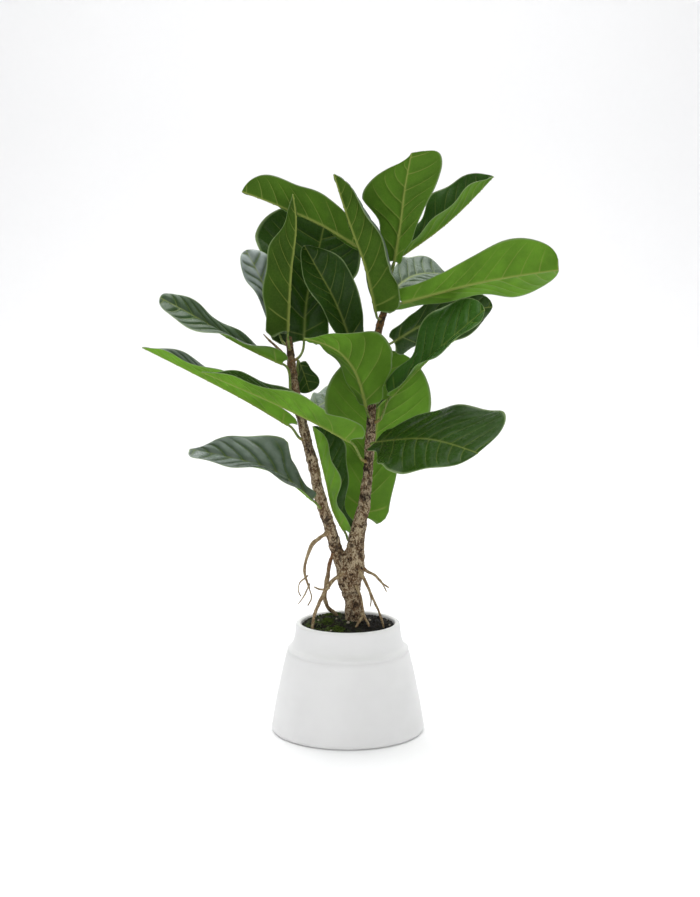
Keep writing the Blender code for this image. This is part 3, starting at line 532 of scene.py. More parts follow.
class Body:
    """Points, faces, finish numbers and point fields gathered for one mesh."""

    def __init__(self, *fields):
        self.points = []
        self.faces = []
        self.slots = []
        self.fields = {name: [] for name in fields}
        self.count = 0

    def add_points(self, points, **values):
        """Adds points, with one value of each field for each, and returns their first index."""
        points = np.asarray(points, float).reshape(-1, 3)
        self.points.append(points)
        for name, held in self.fields.items():
            value = np.asarray(values.get(name, 0.0), float)
            held.append(np.broadcast_to(value.ravel() if value.ndim else value, len(points)))
        first = self.count
        self.count += len(points)
        return first

    def add_faces(self, faces, slot=0):
        """Adds faces of one width, three or four corners, that show one finish."""
        self.faces.append(np.asarray(faces, np.int64))
        self.slots.append(np.full(len(faces), slot))

    def add_copies(self, faces, first, points, count):
        """Adds the same faces for each of count copies of a few points, stored one after another."""
        self.add_faces((faces[None] + first + points * np.arange(count)[:, None, None]).reshape(-1, 3))

    def add_tube(self, loops, slot=0, **values):
        """Adds a closed tube from rings of points, each end closed by a fan.

        A field has one value for each point, or one for each ring as a column.
        """
        rows, columns = loops.shape[:2]
        values = {name: np.broadcast_to(value, (rows, columns)) for name, value in values.items()}
        first = self.add_points(loops, **values)
        quads = grid_quads(rows, columns, wrap=True, first=first)
        ring = np.arange(columns)
        fans = []
        for row, rim in ((0, ring[::-1]), (-1, ring + (rows - 1) * columns)):
            ends = {name: value[row, 0] for name, value in values.items()}
            fans.append(fan(first + rim, self.add_points(loops[row].mean(axis=0), **ends)))
        for faces in (quads, *fans):
            self.add_faces(faces, slot)

    def build(self, name, finishes, sharp_angle=50.0):
        """Makes the mesh object, with each field as a point attribute."""
        mesh = bpy.data.meshes.new(name)
        points = np.concatenate(self.points)
        mesh.vertices.add(len(points))
        mesh.vertices.foreach_set("co", points.astype(np.float32).ravel())
        corners = np.concatenate([faces.ravel() for faces in self.faces])
        widths = np.concatenate([np.full(len(faces), faces.shape[1]) for faces in self.faces])
        mesh.loops.add(len(corners))
        mesh.loops.foreach_set("vertex_index", corners.astype(np.int32))
        mesh.polygons.add(len(widths))
        mesh.polygons.foreach_set("loop_start", (np.cumsum(widths) - widths).astype(np.int32))
        mesh.polygons.foreach_set("material_index", np.concatenate(self.slots).astype(np.int32))
        mesh.update(calc_edges=True)
        for field, held in self.fields.items():
            attribute = mesh.attributes.new(field, "FLOAT", "POINT")
            attribute.data.foreach_set("value", np.concatenate(held).astype(np.float32))
        for material in finishes:
            mesh.materials.append(material)
        mesh.shade_smooth()
        mesh.set_sharp_from_angle(angle=math.radians(sharp_angle))
        piece = bpy.data.objects.new(name, mesh)
        bpy.context.scene.collection.objects.link(piece)
        return piece


def place(piece, slot, *nodes):
    """Attaches a finished piece to the body it rides on and hides the frame nodes it stands for. The slot
    is not used.
    """
    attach(piece, BODY)
    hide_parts(*nodes)


# ---------------------------------------------------------------- shader nodes


class Nodes:
    """Adds and links the nodes of one shader tree."""

    def __init__(self, tree):
        self.tree = tree

    def feed(self, socket, value):
        """Links a socket, or sets its value."""
        if isinstance(value, bpy.types.NodeSocket):
            self.tree.links.new(value, socket)
        else:
            socket.default_value = value

    def new(self, kind, settings=None, **inputs):
        """Adds a node. Settings are its properties, and inputs are sockets named with underscores."""
        node = self.tree.nodes.new(kind)
        for name, value in (settings or {}).items():
            setattr(node, name, value)
        for name, value in inputs.items():
            self.feed(node.inputs[name.replace("_", " ")], value)
        return node

    def math(self, operation, first, second=0.0, clamp=False):
        """One arithmetic step."""
        node = self.new("ShaderNodeMath", {"operation": operation, "use_clamp": clamp})
        self.feed(node.inputs[0], first)
        self.feed(node.inputs[1], second)
        return node.outputs[0]

    def mix(self, factor, first, second, blend="MIX"):
        """A blend of two colours."""
        node = self.new("ShaderNodeMix", {"data_type": "RGBA", "blend_type": blend})
        self.feed(node.inputs[0], factor)
        self.feed(node.inputs[6], first)
        self.feed(node.inputs[7], second)
        return node.outputs[2]

    def fade(self, value, low, high, start=0.0, end=1.0):
        """A smooth step of a value between two limits."""
        node = self.new("ShaderNodeMapRange", {"interpolation_type": "SMOOTHSTEP"})
        for socket, number in zip(node.inputs, (value, low, high, start, end)):
            self.feed(socket, number)
        return node.outputs[0]

    def place(self, stretch=(1.0, 1.0, 1.0)):
        """Object coordinates, stretched along each axis."""
        coordinates = self.new("ShaderNodeTexCoord").outputs["Object"]
        return self.new("ShaderNodeMapping", Vector=coordinates, Scale=stretch).outputs[0]

    def noise(self, where, scale, detail=3.0, roughness=0.55, distortion=0.0):
        """Cloudy noise from 0 to 1."""
        return self.new(
            "ShaderNodeTexNoise", Vector=where, Scale=scale, Detail=detail, Roughness=roughness,
            Distortion=distortion).outputs[0]

    def cells(self, where, scale, feature="F1"):
        """Distance inside random cells."""
        return self.new(
            "ShaderNodeTexVoronoi", {"feature": feature}, Vector=where, Scale=scale).outputs["Distance"]

    def field(self, name):
        """A point attribute of the piece."""
        return self.new("ShaderNodeAttribute", {"attribute_name": name}).outputs["Fac"]


def rgba(colour, share=1.0):
    """A settings colour, times a share, with full alpha."""
    return (*(share * value for value in colour), 1.0)


class Finish(Nodes):
    """A new material and its Principled shader, with the values that are even all over."""

    def __init__(self, name, **values):
        self.material = bpy.data.materials.new("fig_" + name)
        self.material.use_nodes = True
        super().__init__(self.material.node_tree)
        self.shader = self.tree.nodes["Principled BSDF"]
        for socket, value in values.items():
            self.shader.inputs[socket.replace("_", " ")].default_value = value

    def coat(self, colour, roughness=None, height=None, strength=0.0, depth=0.0):
        """Feeds the colour, the roughness and the normal that a height bumps, and gives the material."""
        self.feed(self.shader.inputs["Base Color"], colour)
        if roughness is not None:
            self.feed(self.shader.inputs["Roughness"], roughness)
        if height is not None:
            bump = self.new("ShaderNodeBump", Height=height, Strength=strength, Distance=depth)
            self.feed(self.shader.inputs["Normal"], bump.outputs[0])
        return self.material


def group_of(name, inputs, outputs):
    """An empty shader node group and its nodes. A tuple makes a colour input, and a number a value."""
    tree = bpy.data.node_groups.new(name, "ShaderNodeTree")
    for label, value in inputs.items():
        kind = "NodeSocketColor" if isinstance(value, tuple) else "NodeSocketFloat"
        socket = tree.interface.new_socket(label, in_out="INPUT", socket_type=kind)
        socket.default_value = value
    for label in outputs:
        kind = "NodeSocketColor" if label == "Color" else "NodeSocketFloat"
        tree.interface.new_socket(label, in_out="OUTPUT", socket_type=kind)
    nodes = Nodes(tree)
    return tree, nodes, nodes.new("NodeGroupInput").outputs, nodes.new("NodeGroupOutput").inputs


def mottle_group():
    """Bark and root skin: pale flakes and dark pits on a middle brown, and the height of both."""
    tree, nodes, given, out = group_of(
        "fig_mottle",
        {"Pale": (0.4, 0.3, 0.2, 1.0), "Middle": (0.2, 0.1, 0.04, 1.0), "Dark": (0.05, 0.03, 0.02, 1.0),
         "Scale": 1.0, "Pits": 0.0},
        ("Color", "Height"),
    )
    stretch = nodes.new("ShaderNodeVectorMath", {"operation": "SCALE"}, Scale=given["Scale"])
    nodes.feed(stretch.inputs[0], nodes.place((1.0, 1.0, 0.7)))
    where = stretch.outputs[0]
    coarse = nodes.noise(where, 190.0, 5.0, 0.68, 0.8)
    fine = nodes.noise(where, 620.0, 4.0, 0.7, 0.4)
    clouds = nodes.noise(where, 75.0, 3.0)
    rough = nodes.math("ADD", nodes.math("MULTIPLY", coarse, 0.55), nodes.math("MULTIPLY", fine, 0.45))
    flakes = nodes.fade(rough, 0.475, 0.55)
    colour = nodes.mix(flakes, given["Middle"], given["Pale"])
    edge = nodes.math("ADD", given["Pits"], nodes.fade(clouds, 0.3, 0.7, 0.395, 0.465))
    pits = nodes.fade(
        rough, nodes.math("SUBTRACT", edge, 0.035), nodes.math("ADD", edge, 0.035), 1.0, 0.0)
    colour = nodes.mix(pits, colour, given["Dark"])
    freckle = nodes.fade(nodes.noise(where, 1500.0, 3.0), 0.35, 0.65, 0.62, 1.22)
    colour = nodes.mix(1.0, colour, freckle, "MULTIPLY")
    nodes.feed(out["Color"], colour)
    nodes.feed(out["Height"], nodes.math("SUBTRACT", rough, nodes.math("MULTIPLY", pits, 0.15)))
    return tree


def veined_group():
    """Leaf skin: a net of fine veins, and the masks of the blade's ribs and margin laid over a colour."""
    tree, nodes, given, out = group_of(
        "fig_veined",
        {"Color": (0.02, 0.06, 0.01, 1.0), "Vein": (0.3, 0.4, 0.1, 1.0), "Margin": (0.5, 0.6, 0.4, 1.0),
         "Side Veins": 0.6, "Midrib": 0.8, "Net": 0.2},
        ("Color", "Height", "Rib"),
    )
    where = nodes.place()
    net = nodes.cells(where, 300.0, "DISTANCE_TO_EDGE")
    fine = nodes.cells(where, 820.0, "DISTANCE_TO_EDGE")
    lines = nodes.math("ADD", nodes.fade(net, 0.0, 0.12, 1.0, 0.0), nodes.fade(fine, 0.0, 0.2, 0.45, 0.0))
    colour = nodes.mix(nodes.math("MULTIPLY", lines, given["Net"]), given["Color"], given["Vein"])
    side = nodes.math("MULTIPLY", nodes.field("vein"), given["Side Veins"])
    rib = nodes.math("MULTIPLY", nodes.field("midrib"), given["Midrib"])
    colour = nodes.mix(side, colour, given["Vein"])
    colour = nodes.mix(rib, colour, given["Vein"])
    colour = nodes.mix(nodes.field("margin"), colour, given["Margin"])
    grain = nodes.noise(where, 1400.0, 3.0)
    nodes.feed(out["Color"], colour)
    nodes.feed(out["Height"], nodes.math("ADD", nodes.math("MULTIPLY", lines, -0.5), grain))
    nodes.feed(out["Rib"], nodes.math("MAXIMUM", side, rib))
    return tree


def shared_group(name):
    """A shader node group, built the first time that a finish asks for it."""
    makers = {"fig_mottle": mottle_group, "fig_veined": veined_group}
    return bpy.data.node_groups.get(name) or makers[name]()


def use_group(nodes, name, **inputs):
    """Puts a shared group into a material with its own values."""
    return nodes.new("ShaderNodeGroup", {"node_tree": shared_group(name)}, **inputs).outputs


def leaf_top_finish(scene):
    """The upper face: dark green satin, fresher on some leaves and silvered by painted sheen on others,
    with thin yellowish veins.
    """
    look = scene.fig_leaf
    nodes = Finish("leaf_top", Specular_IOR_Level=0.10)
    clouds = nodes.noise(nodes.place(), 42.0, 3.0)
    fresh = nodes.math("ADD", nodes.field("fresh"), nodes.fade(clouds, 0.4, 0.75, -0.1, 0.14), clamp=True)
    base = nodes.mix(fresh, rgba(look.top_colour), rgba(look.fresh_colour))
    # Painted sheen: a silver reflection painted in streaks over the upper face, less on the veins.
    streaks = nodes.fade(nodes.noise(nodes.place(), 70.0, 2.0), 0.35, 0.65, 0.72, 1.0)
    bare = nodes.math("SUBTRACT", 1.0, nodes.math("MULTIPLY", nodes.field("vein"), 0.5))
    painted_sheen_share = nodes.math("MULTIPLY", nodes.math("MULTIPLY", nodes.field("painted_sheen"), streaks), bare)
    base = nodes.mix(painted_sheen_share, base, rgba(look.painted_sheen_colour))
    skin = use_group(
        nodes, "fig_veined", Color=base, Vein=rgba(look.vein_colour), Margin=rgba(look.margin_colour),
        Side_Veins=0.34, Midrib=0.5, Net=0.04)
    rough = nodes.fade(nodes.noise(nodes.place(), 130.0, 3.0), 0.3, 0.7, 0.22, 0.32)
    rough = nodes.math("ADD", rough, nodes.math("MULTIPLY", skin["Rib"], 0.1))
    return nodes.coat(skin["Color"], rough, skin["Height"], 0.22, 0.0003)


def leaf_under_finish(scene):
    """The underside: matte mid green, darkened on some leaves by painted shade, with pale ribs and a
    faint net.
    """
    look = scene.fig_leaf
    nodes = Finish("leaf_under", Specular_IOR_Level=0.07)
    clouds = nodes.noise(nodes.place(), 34.0, 3.0)
    green = look.under_colour
    base = nodes.mix(nodes.fade(clouds, 0.3, 0.75), rgba(green, 0.72), rgba(green))
    # Painted shade: each leaf's underside is darkened by its shadow value.
    shade = nodes.math("SUBTRACT", 1.0, nodes.math("MULTIPLY", nodes.field("shadow"), 0.8))
    base = nodes.mix(1.0, base, shade, "MULTIPLY")
    skin = use_group(
        nodes, "fig_veined", Color=base, Vein=rgba(look.vein_colour), Margin=rgba(look.margin_colour),
        Side_Veins=0.7, Midrib=0.85, Net=0.06)
    rough = nodes.fade(clouds, 0.3, 0.7, 0.52, 0.64)
    return nodes.coat(skin["Color"], rough, skin["Height"], 0.3, 0.0003)


def leaf_stalk_finish(scene):
    """A leaf stalk: green, browner where it leaves the stem."""
    look = scene.fig_leaf
    nodes = Finish("leaf_stalk", Specular_IOR_Level=0.4, Roughness=0.5)
    streaks = nodes.noise(nodes.place((1.0, 1.0, 0.25)), 900.0, 3.0)
    lines = nodes.fade(streaks, 0.35, 0.65)
    green = nodes.mix(lines, rgba(look.under_colour, 0.3), rgba(look.vein_colour))
    age = nodes.math("ADD", nodes.field("age"), nodes.fade(streaks, 0.3, 0.7, -0.15, 0.15), clamp=True)
    colour = nodes.mix(age, green, rgba(scene.fig_wood.rust_colour))
    return nodes.coat(colour, None, streaks, 0.3, 0.0003)


def bark_finish(scene):
    """Bark: pale flakes over brown wood and dark pits, rustier and smoother on the young wood."""
    wood = scene.fig_wood
    nodes = Finish("bark", Specular_IOR_Level=0.25)
    old = use_group(
        nodes, "fig_mottle", Pale=rgba(wood.pale_colour), Middle=rgba(wood.brown_colour),
        Dark=rgba(wood.dark_colour), Scale=1.0, Pits=0.0)
    new = use_group(
        nodes, "fig_mottle", Pale=rgba(wood.rust_colour), Middle=(0.085, 0.062, 0.024, 1.0),
        Dark=rgba(wood.dark_colour), Scale=1.2, Pits=0.01)
    colour = nodes.mix(nodes.field("young"), old["Color"], new["Color"])
    # Darker where the bark's relief sinks lowest, and along the seam's groove.
    colour = nodes.mix(nodes.math("MULTIPLY", nodes.field("pit"), 0.8), colour, rgba(wood.dark_colour))
    rough = nodes.fade(old["Height"], 0.2, 0.7, 0.92, 0.72)
    return nodes.coat(colour, rough, old["Height"], 1.0, 0.0012)


def root_skin_finish(scene):
    """Root skin: buff, with brown stains where the skin has worn."""
    nodes = Finish("root_skin", Specular_IOR_Level=0.3)
    skin = use_group(
        nodes, "fig_mottle", Pale=rgba(scene.fig_wood.root_colour), Middle=(0.23, 0.15, 0.075, 1.0),
        Dark=(0.075, 0.045, 0.024, 1.0), Scale=1.2, Pits=-0.03)
    worn = nodes.math("MULTIPLY", nodes.field("worn"), nodes.fade(skin["Height"], 0.3, 0.6, 1.0, 0.6))
    colour = nodes.mix(worn, skin["Color"], (0.13, 0.055, 0.02, 1.0))
    rough = nodes.fade(skin["Height"], 0.2, 0.7, 0.85, 0.66)
    return nodes.coat(colour, rough, skin["Height"], 0.8, 0.0008)


def ceramic_finish(scene):
    """Matte ceramic: off-white with a fine tooth, faint clouds, a few pin specks and painted shade in the
    groove.
    """
    glaze = scene.fig_pot.glaze_colour
    nodes = Finish("ceramic", Specular_IOR_Level=0.4)
    where = nodes.place()
    clouds = nodes.noise(where, 14.0, 3.0)
    base = nodes.mix(nodes.fade(clouds, 0.35, 0.7), rgba(glaze), rgba(glaze, 0.95))
    specks = nodes.fade(nodes.cells(where, 160.0), 0.0, 0.045, 0.22, 0.0)
    base = nodes.mix(specks, base, (0.38, 0.36, 0.33, 1.0))
    # Painted shade: the groove under the shoulder is darkened towards grey.
    painted_groove_shade = nodes.math("MULTIPLY", nodes.field("groove"), 0.16)
    base = nodes.mix(painted_groove_shade, base, (0.42, 0.42, 0.40, 1.0))
    tooth = nodes.noise(where, 900.0, 4.0, 0.6)
    return nodes.coat(base, nodes.fade(tooth, 0.3, 0.7, 0.5, 0.62), tooth, 0.12, 0.0002)


def soil_finish(scene):
    """Damp soil: near black, with browner crumbs and a green film where moss has spread."""
    pot = scene.fig_pot
    nodes = Finish("soil", Specular_IOR_Level=0.2)
    where = nodes.place()
    grit = nodes.noise(where, 480.0, 5.0, 0.7)
    base = nodes.mix(nodes.fade(grit, 0.42, 0.72), rgba(pot.soil_colour), rgba(pot.soil_colour, 2.2))
    patches = nodes.fade(nodes.noise(where, 210.0, 4.0), 0.42, 0.6)
    base = nodes.mix(nodes.math("MULTIPLY", nodes.field("moss"), patches), base, rgba(pot.moss_colour))
    return nodes.coat(base, nodes.fade(grit, 0.3, 0.7, 0.98, 0.8), grit, 0.9, 0.0012)


def crumbs_finish(_scene):
    """Loose crumbs on the soil: dark bark chips and a few pale grits, one shade a crumb."""
    nodes = Finish("crumbs", Specular_IOR_Level=0.25, Roughness=0.88)
    shade = nodes.field("shade")
    dark = nodes.mix(nodes.fade(shade, 0.0, 0.8), (0.006, 0.005, 0.004, 1.0), (0.022, 0.016, 0.010, 1.0))
    colour = nodes.mix(nodes.fade(shade, 0.988, 0.99), dark, (0.36, 0.32, 0.25, 1.0))
    return nodes.coat(colour, None, nodes.noise(nodes.place(), 1600.0), 0.5, 0.0004)


def moss_finish(scene):
    """Moss: dull green pile, darker in patches and lighter towards the tips of its spindles."""
    moss = scene.fig_pot.moss_colour
    nodes = Finish("moss", Specular_IOR_Level=0.15, Roughness=0.95)
    patch = nodes.noise(nodes.place(), 260.0, 3.0)
    colour = nodes.mix(nodes.fade(patch, 0.42, 0.6), rgba(moss, 0.16), rgba(moss))
    colour = nodes.mix(nodes.field("tip"), colour, rgba(moss, 1.7))
    return nodes.coat(colour, None, patch, 0.6, 0.0008)


def paper_finish(scene):
    """The floor and the backdrop: plain pale paper with a faint tooth."""
    colour = scene.fig_stage.floor_colour
    nodes = Finish("backdrop_paper", Roughness=0.9, Specular_IOR_Level=0.1)
    return nodes.coat(nodes.mix(nodes.noise(nodes.place(), 60.0, 2.0), rgba(colour), rgba(colour, 0.985)))


FINISHES = {
    "leaf_top": leaf_top_finish,
    "leaf_under": leaf_under_finish,
    "leaf_stalk": leaf_stalk_finish,
    "bark": bark_finish,
    "root_skin": root_skin_finish,
    "ceramic": ceramic_finish,
    "soil": soil_finish,
    "crumbs": crumbs_finish,
    "moss": moss_finish,
    "backdrop_paper": paper_finish,
}


def finish(name):
    """A finish by name, made the first time that a piece asks for it."""
    return bpy.data.materials.get("fig_" + name) or FINISHES[name](bpy.context.scene)


# ---------------------------------------------------------------- leaves


def half_outline(u, half, waist, lobe):
    """A half blade's relative width at u from 0 at the base to 1 at the tip.

    The width is the waist, blended to the lobe by a bell round the lobe's place and to 1 by a
    smoothstep that ends where the half is broadest. Beyond that it is times (1 - x^2)^close, where x
    goes from 0 there to 1 at the tip, and before the lobe's place it is rounded off as an ellipse is.
    """
    _, broad, close = half
    low = waist + (lobe - waist) * bell((u - LOBE_PLACE) / LOBE_SPREAD)
    width = low + (1.0 - low) * smoothstep((u - WAIST_PLACE) / (broad - WAIST_PLACE))
    width = width * np.sqrt(1.0 - 0.75 * (1.0 - np.clip(u / LOBE_PLACE, 0.0, 1.0)) ** 2)
    beyond = np.clip((u - broad) / (1.0 - broad), 0.0, 1.0)
    return TIP_SHARE + (1.0 - TIP_SHARE) * width * (1.0 - beyond**2) ** close


def blade_frames(leaf, u):
    """Points, tangents, upward normals and side vectors of a leaf's midrib.

    The normal is the line from base to tip's own upward normal, turned about that line by
    roll + twist (u - 0.5), and then made square to the tangent.
    """
    midrib = smooth_path(np.asarray(leaf.midrib, float) * MM, u)
    chord = unit(midrib[-1] - midrib[0])
    up = unit(Z_AXIS - chord * chord[2])
    across = np.cross(chord, up)
    turn = np.radians(leaf.roll + leaf.twist * (u - 0.5))[:, None]
    tangents = unit(np.gradient(midrib, u, axis=0))
    normals = up * np.cos(turn) + across * np.sin(turn)
    normals = unit(normals - tangents * np.sum(normals * tangents, axis=1, keepdims=True))
    return midrib, tangents, normals, np.cross(tangents, normals)


def read_table(table, places):
    """A table of vectors along the midrib, read at any places from 0 to 1."""
    knots = even(len(table))
    return np.stack([np.interp(places, knots, table[:, axis]) for axis in range(3)], axis=-1)


def swept(s, a):
    """Where a line that leaves the midrib at s has got to, at a share a of the way to the margin.

    u = s + lean a^1.15 (1 - (1 - s)^3)(1 - s): the lines lean towards the tip as side veins do,
    and the first and the last stay at the base and at the tip.
    """
    return s[:, None] + VEIN_LEAN * a**1.15 * ((1.0 - (1.0 - s) ** 3) * (1.0 - s))[:, None]


def half_blade(leaf, frames, s, a, hand):
    """One half of a blade's middle surface on a grid of vein lines s and shares a.

    A row starts on the midrib M(u) and goes out by w(u) at the angle fold(u) + cup a + curl, so a
    point is M + hand w X S + (w Y + ruffle a^2 sin) N + (toe - heel) T, where X and Y are the
    integrals of the angle's cosine and sine from 0 to a. Returns the points, u, and each point's
    distance from the midrib and from the margin.
    """
    u = swept(s, a)
    half = leaf.left if hand < 0 else leaf.right
    width = leaf.width / 2.0 * MM * half[0] * half_outline(u, half, leaf.waist, leaf.lobe)
    fold = leaf.fold[0] + (leaf.fold[1] - leaf.fold[0]) * u
    curl = (leaf.curl if hand < 0 else 0.0) * smoothstep(u / 0.4)
    inner = a[:, None] * even(17)
    edge = np.clip((inner - 0.6) / 0.4, 0.0, 1.0) ** 1.2
    angle = np.radians(fold[..., None] + leaf.cup * inner + curl[..., None] * edge)
    out = width * a * np.trapz(np.cos(angle), dx=1.0 / 16.0, axis=-1)
    rise = width * a * np.trapz(np.sin(angle), dx=1.0 / 16.0, axis=-1)
    shift = 0.0 if hand < 0 else 0.31
    wave = np.sin(math.tau * (leaf.waves * u + leaf.phase + shift))
    rise = rise + leaf.ruffle * MM * a**2 * wave * np.minimum(1.0, 2.5 * width / width.max())
    back = leaf.heel * width.max() * a**1.6 * bell(u / 0.1)
    toe = leaf.toe[0] if hand < 0 else leaf.toe[1]
    ahead = toe * a * width * bell((1.0 - u) / 0.15)
    midrib, tangents, normals, sides = (read_table(table, u) for table in frames)
    points = (
        midrib
        + hand * out[..., None] * sides
        + rise[..., None] * normals
        + (ahead - back)[..., None] * tangents
    )
    return points, u, width * a, width * (1.0 - a)


def vein_lines(count):
    """Places along the midrib of the grid's lines: close together at each half's veins and at the tip."""
    near = np.array([0.0, 0.018, 0.045, 0.085])
    near = np.concatenate([-near[:0:-1], near])
    lines = [np.linspace(-VEIN_START, count + VEIN_END, 9 * count)]
    for start in (0.0, VEIN_STAGGER):
        lines.append((np.arange(count + 1)[:, None] + start + near).ravel())
    phases = np.sort(np.concatenate(lines))
    phases = phases[(phases > -VEIN_START) & (phases < count + VEIN_END)]
    places = (phases + VEIN_START) / (count + VEIN_START + VEIN_END)
    tip = 1.0 - 0.05 * even(9) ** 2
    places = np.sort(np.concatenate([[0.0, 0.004, 0.012], places, tip]))
    kept = [places[0]]
    for line in places[1:]:
        if line - kept[-1] > 0.0022:
            kept.append(line)
    kept[-1] = 1.0
    return np.array(kept)


def vein_distance(s, count, stagger):
    """Distance from a grid line to the nearest side vein, against the veins' spacing."""
    phase = s * (count + VEIN_START + VEIN_END) - VEIN_START - stagger
    return np.abs(phase - np.round(phase))


def grow_blade(body, leaf, look, seed):
    """The blade as one closed shell round a middle surface, joined by a rim.

    The middle surface rises by quilt (1 - exp(-(gap / valley)^2)) between two side veins, with slow
    noise on top. The upper face lies half a thickness above it. The underside lies half a thickness
    below, and lower by rib exp(-(distance / width)^4) at the midrib and by vein exp(-(distance /
    width)^2) at a side vein. Both faces carry the veins, the margin, the leaf's freshness, its painted
    shade and its painted sheen as fields.
    """
    frames = blade_frames(leaf, even(257))
    length = path_length(frames[0])
    count = max(3, round(length / look.vein_spacing))
    s = vein_lines(count)
    a = even(HALF_COLUMNS + 1) ** 1.35
    halves = []
    for hand, stagger in ((-1, 0.0), (1, VEIN_STAGGER)):
        points, u, reach, inset = half_blade(leaf, frames, s, a, hand)
        gap = np.broadcast_to(vein_distance(s, count, stagger)[:, None], u.shape)
        across = np.broadcast_to(a, u.shape)
        halves.append((points, u, reach, inset, gap, across))
    points, u, reach, inset, gap, across = (
        np.concatenate([left[:, ::-1], right[:, 1:]], axis=1) for left, right in zip(*halves))
    spacing = length / (count + VEIN_START + VEIN_END)
    scale = min(1.0, leaf.width / 60.0)
    reached = 1.0 - smoothstep((across - 0.70) / 0.24)
    vein = bell(gap * spacing / ((0.62 - 0.36 * across) * MM)) * reached
    rib_width = (1.7 - 1.1 * u) * MM * scale
    midrib = bell(reach / rib_width)
    base_edge = np.where(across > 0.12, s[:, None] * length, 1.0)
    margin = 1.0 - smoothstep(np.minimum(inset, base_edge) / MARGIN_WIDTH)
    swell = 1.0 - bell(gap / VEIN_VALLEY)
    quilt = look.quilt * leaf.quilt * scale * swell * smoothstep(reach / (6.0 * MM)) * (1.0 - across**3)
    slow = noise(points + seed, 0.055, seed) + 0.4 * noise(points + seed, 0.02, seed + 1)
    height = quilt + look.unevenness * scale * slow * smoothstep(reach / (12.0 * MM))
    along = np.gradient(points, axis=0)
    over = np.gradient(points, axis=1)
    normals = unit(np.cross(over, along))
    middle = points + height[..., None] * normals
    thick = look.thickness * (1.0 - 0.45 * across**6) / 2.0
    raised = thick + 0.25 * look.vein * midrib * scale
    ribs = look.rib * scale * (1.0 - 0.72 * u) * np.exp(-((reach / (1.25 * rib_width)) ** 4))
    lowered = thick + ribs + look.vein * scale * vein * (1.0 - 0.5 * across)
    fields = {
        "vein": vein, "midrib": midrib, "margin": margin,
        "fresh": np.full(u.shape, leaf.fresh), "shadow": np.full(u.shape, leaf.shadow),
        # Painted sheen: stronger towards the tip and weaker along the side veins.
        "painted_sheen": leaf.painted_sheen * (0.45 + 0.65 * u) * (1.0 - 0.7 * bell(gap / 0.22) * reached),
    }
    rows, columns = u.shape
    top = body.add_points(middle + raised[..., None] * normals, **fields)
    under = body.add_points(middle - lowered[..., None] * normals, **fields)
    body.add_faces(grid_quads(rows, columns, first=top), LEAF_SLOTS.index("top"))
    body.add_faces(grid_quads(rows, columns, first=under)[:, ::-1], LEAF_SLOTS.index("under"))
    index = np.arange(rows * columns).reshape(rows, columns)
    outline = np.concatenate([index[:, 0], index[-1, 1:], index[-2::-1, -1], index[0, -2:0:-1]])
    after = np.roll(outline, -1)
    rim = np.stack([outline + top, after + top, after + under, outline + under], axis=-1)
    body.add_faces(rim, LEAF_SLOTS.index("under"))


def limb_at(stem, height):
    """Axis point, direction and radius of a limb at a height in millimetres."""
    samples = sampled(LIMB_LEFT if stem == "left" else LIMB_RIGHT, 600)
    nearest = int(np.argmin(np.abs(samples[:, 2] - height * MM)))
    direction = unit(samples[nearest + 1, :3] - samples[nearest - 1, :3])
    return samples[nearest, :3], direction, samples[nearest, 3]


def grow_stalk(body, leaf):
    """The stalk: a tube along a cubic curve from the stem that arrives along the midrib.

    Its radius falls from the seat's to the stalk's by (1 - share)^2, with a bell of 0.5 mm more at
    the seat, and it runs out under the blade's first tenth.
    """
    midrib, tangents, normals, _ = blade_frames(leaf, np.linspace(0.0, 0.12, 13))
    seat, stem_axis, stem_radius = limb_at(leaf.stem, leaf.height)
    outward = midrib[0] - seat
    outward = unit(outward - stem_axis * np.dot(outward, stem_axis))
    scale = min(1.0, leaf.width / 20.0)
    inside = min(stem_radius * 0.6, STALK_INSET)
    start = seat + outward * (stem_radius - inside)
    end = midrib[0] - tangents[0] * 2.0 * MM
    leave = 0.4 * np.linalg.norm(end - seat)
    t = even(26)[:, None]
    path = (
        (1 - t) ** 3 * start
        + 3 * (1 - t) ** 2 * t * (start + outward * leave)
        + 3 * (1 - t) * t**2 * (end - tangents[0] * leave)
        + t**3 * end
    )
    under = midrib - normals * 0.5 * MM * scale
    path = np.concatenate([path, under[1:7]])
    share = np.concatenate([t[:, 0], np.ones(6)])
    radius = STALK_RADIUS + (STALK_SEAT_RADIUS - STALK_RADIUS) * (1.0 - share) ** 2
    radius = radius + 0.5 * MM * bell(share / 0.12)
    radius[-6:] *= np.linspace(0.95, 0.35, 6)
    loops = path[:, None] + spokes_round(path, RING_SIDES["stalk"]) * (radius * scale)[:, None, None]
    age = 0.85 * (1.0 - smoothstep(share / 0.45))[:, None]
    body.add_tube(loops, LEAF_SLOTS.index("stalk"), age=age)


def grow_leaf(leaf, look, seed):
    """One leaf: its blade and its stalk."""
    body = Body("vein", "midrib", "margin", "fresh", "shadow", "painted_sheen", "age")
    grow_blade(body, leaf, look, seed)
    grow_stalk(body, leaf)
    piece = body.build(leaf.name + "_grown", [finish("leaf_" + slot) for slot in LEAF_SLOTS])
    place(piece, "leaf", leaf.name)


# ---------------------------------------------------------------- wood and roots


def scar_rings(height):
    """Rings that fallen leaves left round a limb: narrow ridges about 11 mm apart, closer higher up."""
    phase = height / SCAR_SPACING + 6.0 * height**2
    return bell((phase - np.round(phase)) / 0.09)


def bark_height(points, seed):
    """Bark relief from -1 to 1: long lumps, warts and fine grain added up."""
    stretched = points * (1.0, 1.0, 0.55)
    lumps = noise(stretched, 0.0075, seed)
    warts = noise(stretched, 0.0030, seed + 1)
    grain = noise(points, 0.0014, seed + 2)
    return 0.75 * lumps + 0.6 * warts + 0.35 * grain


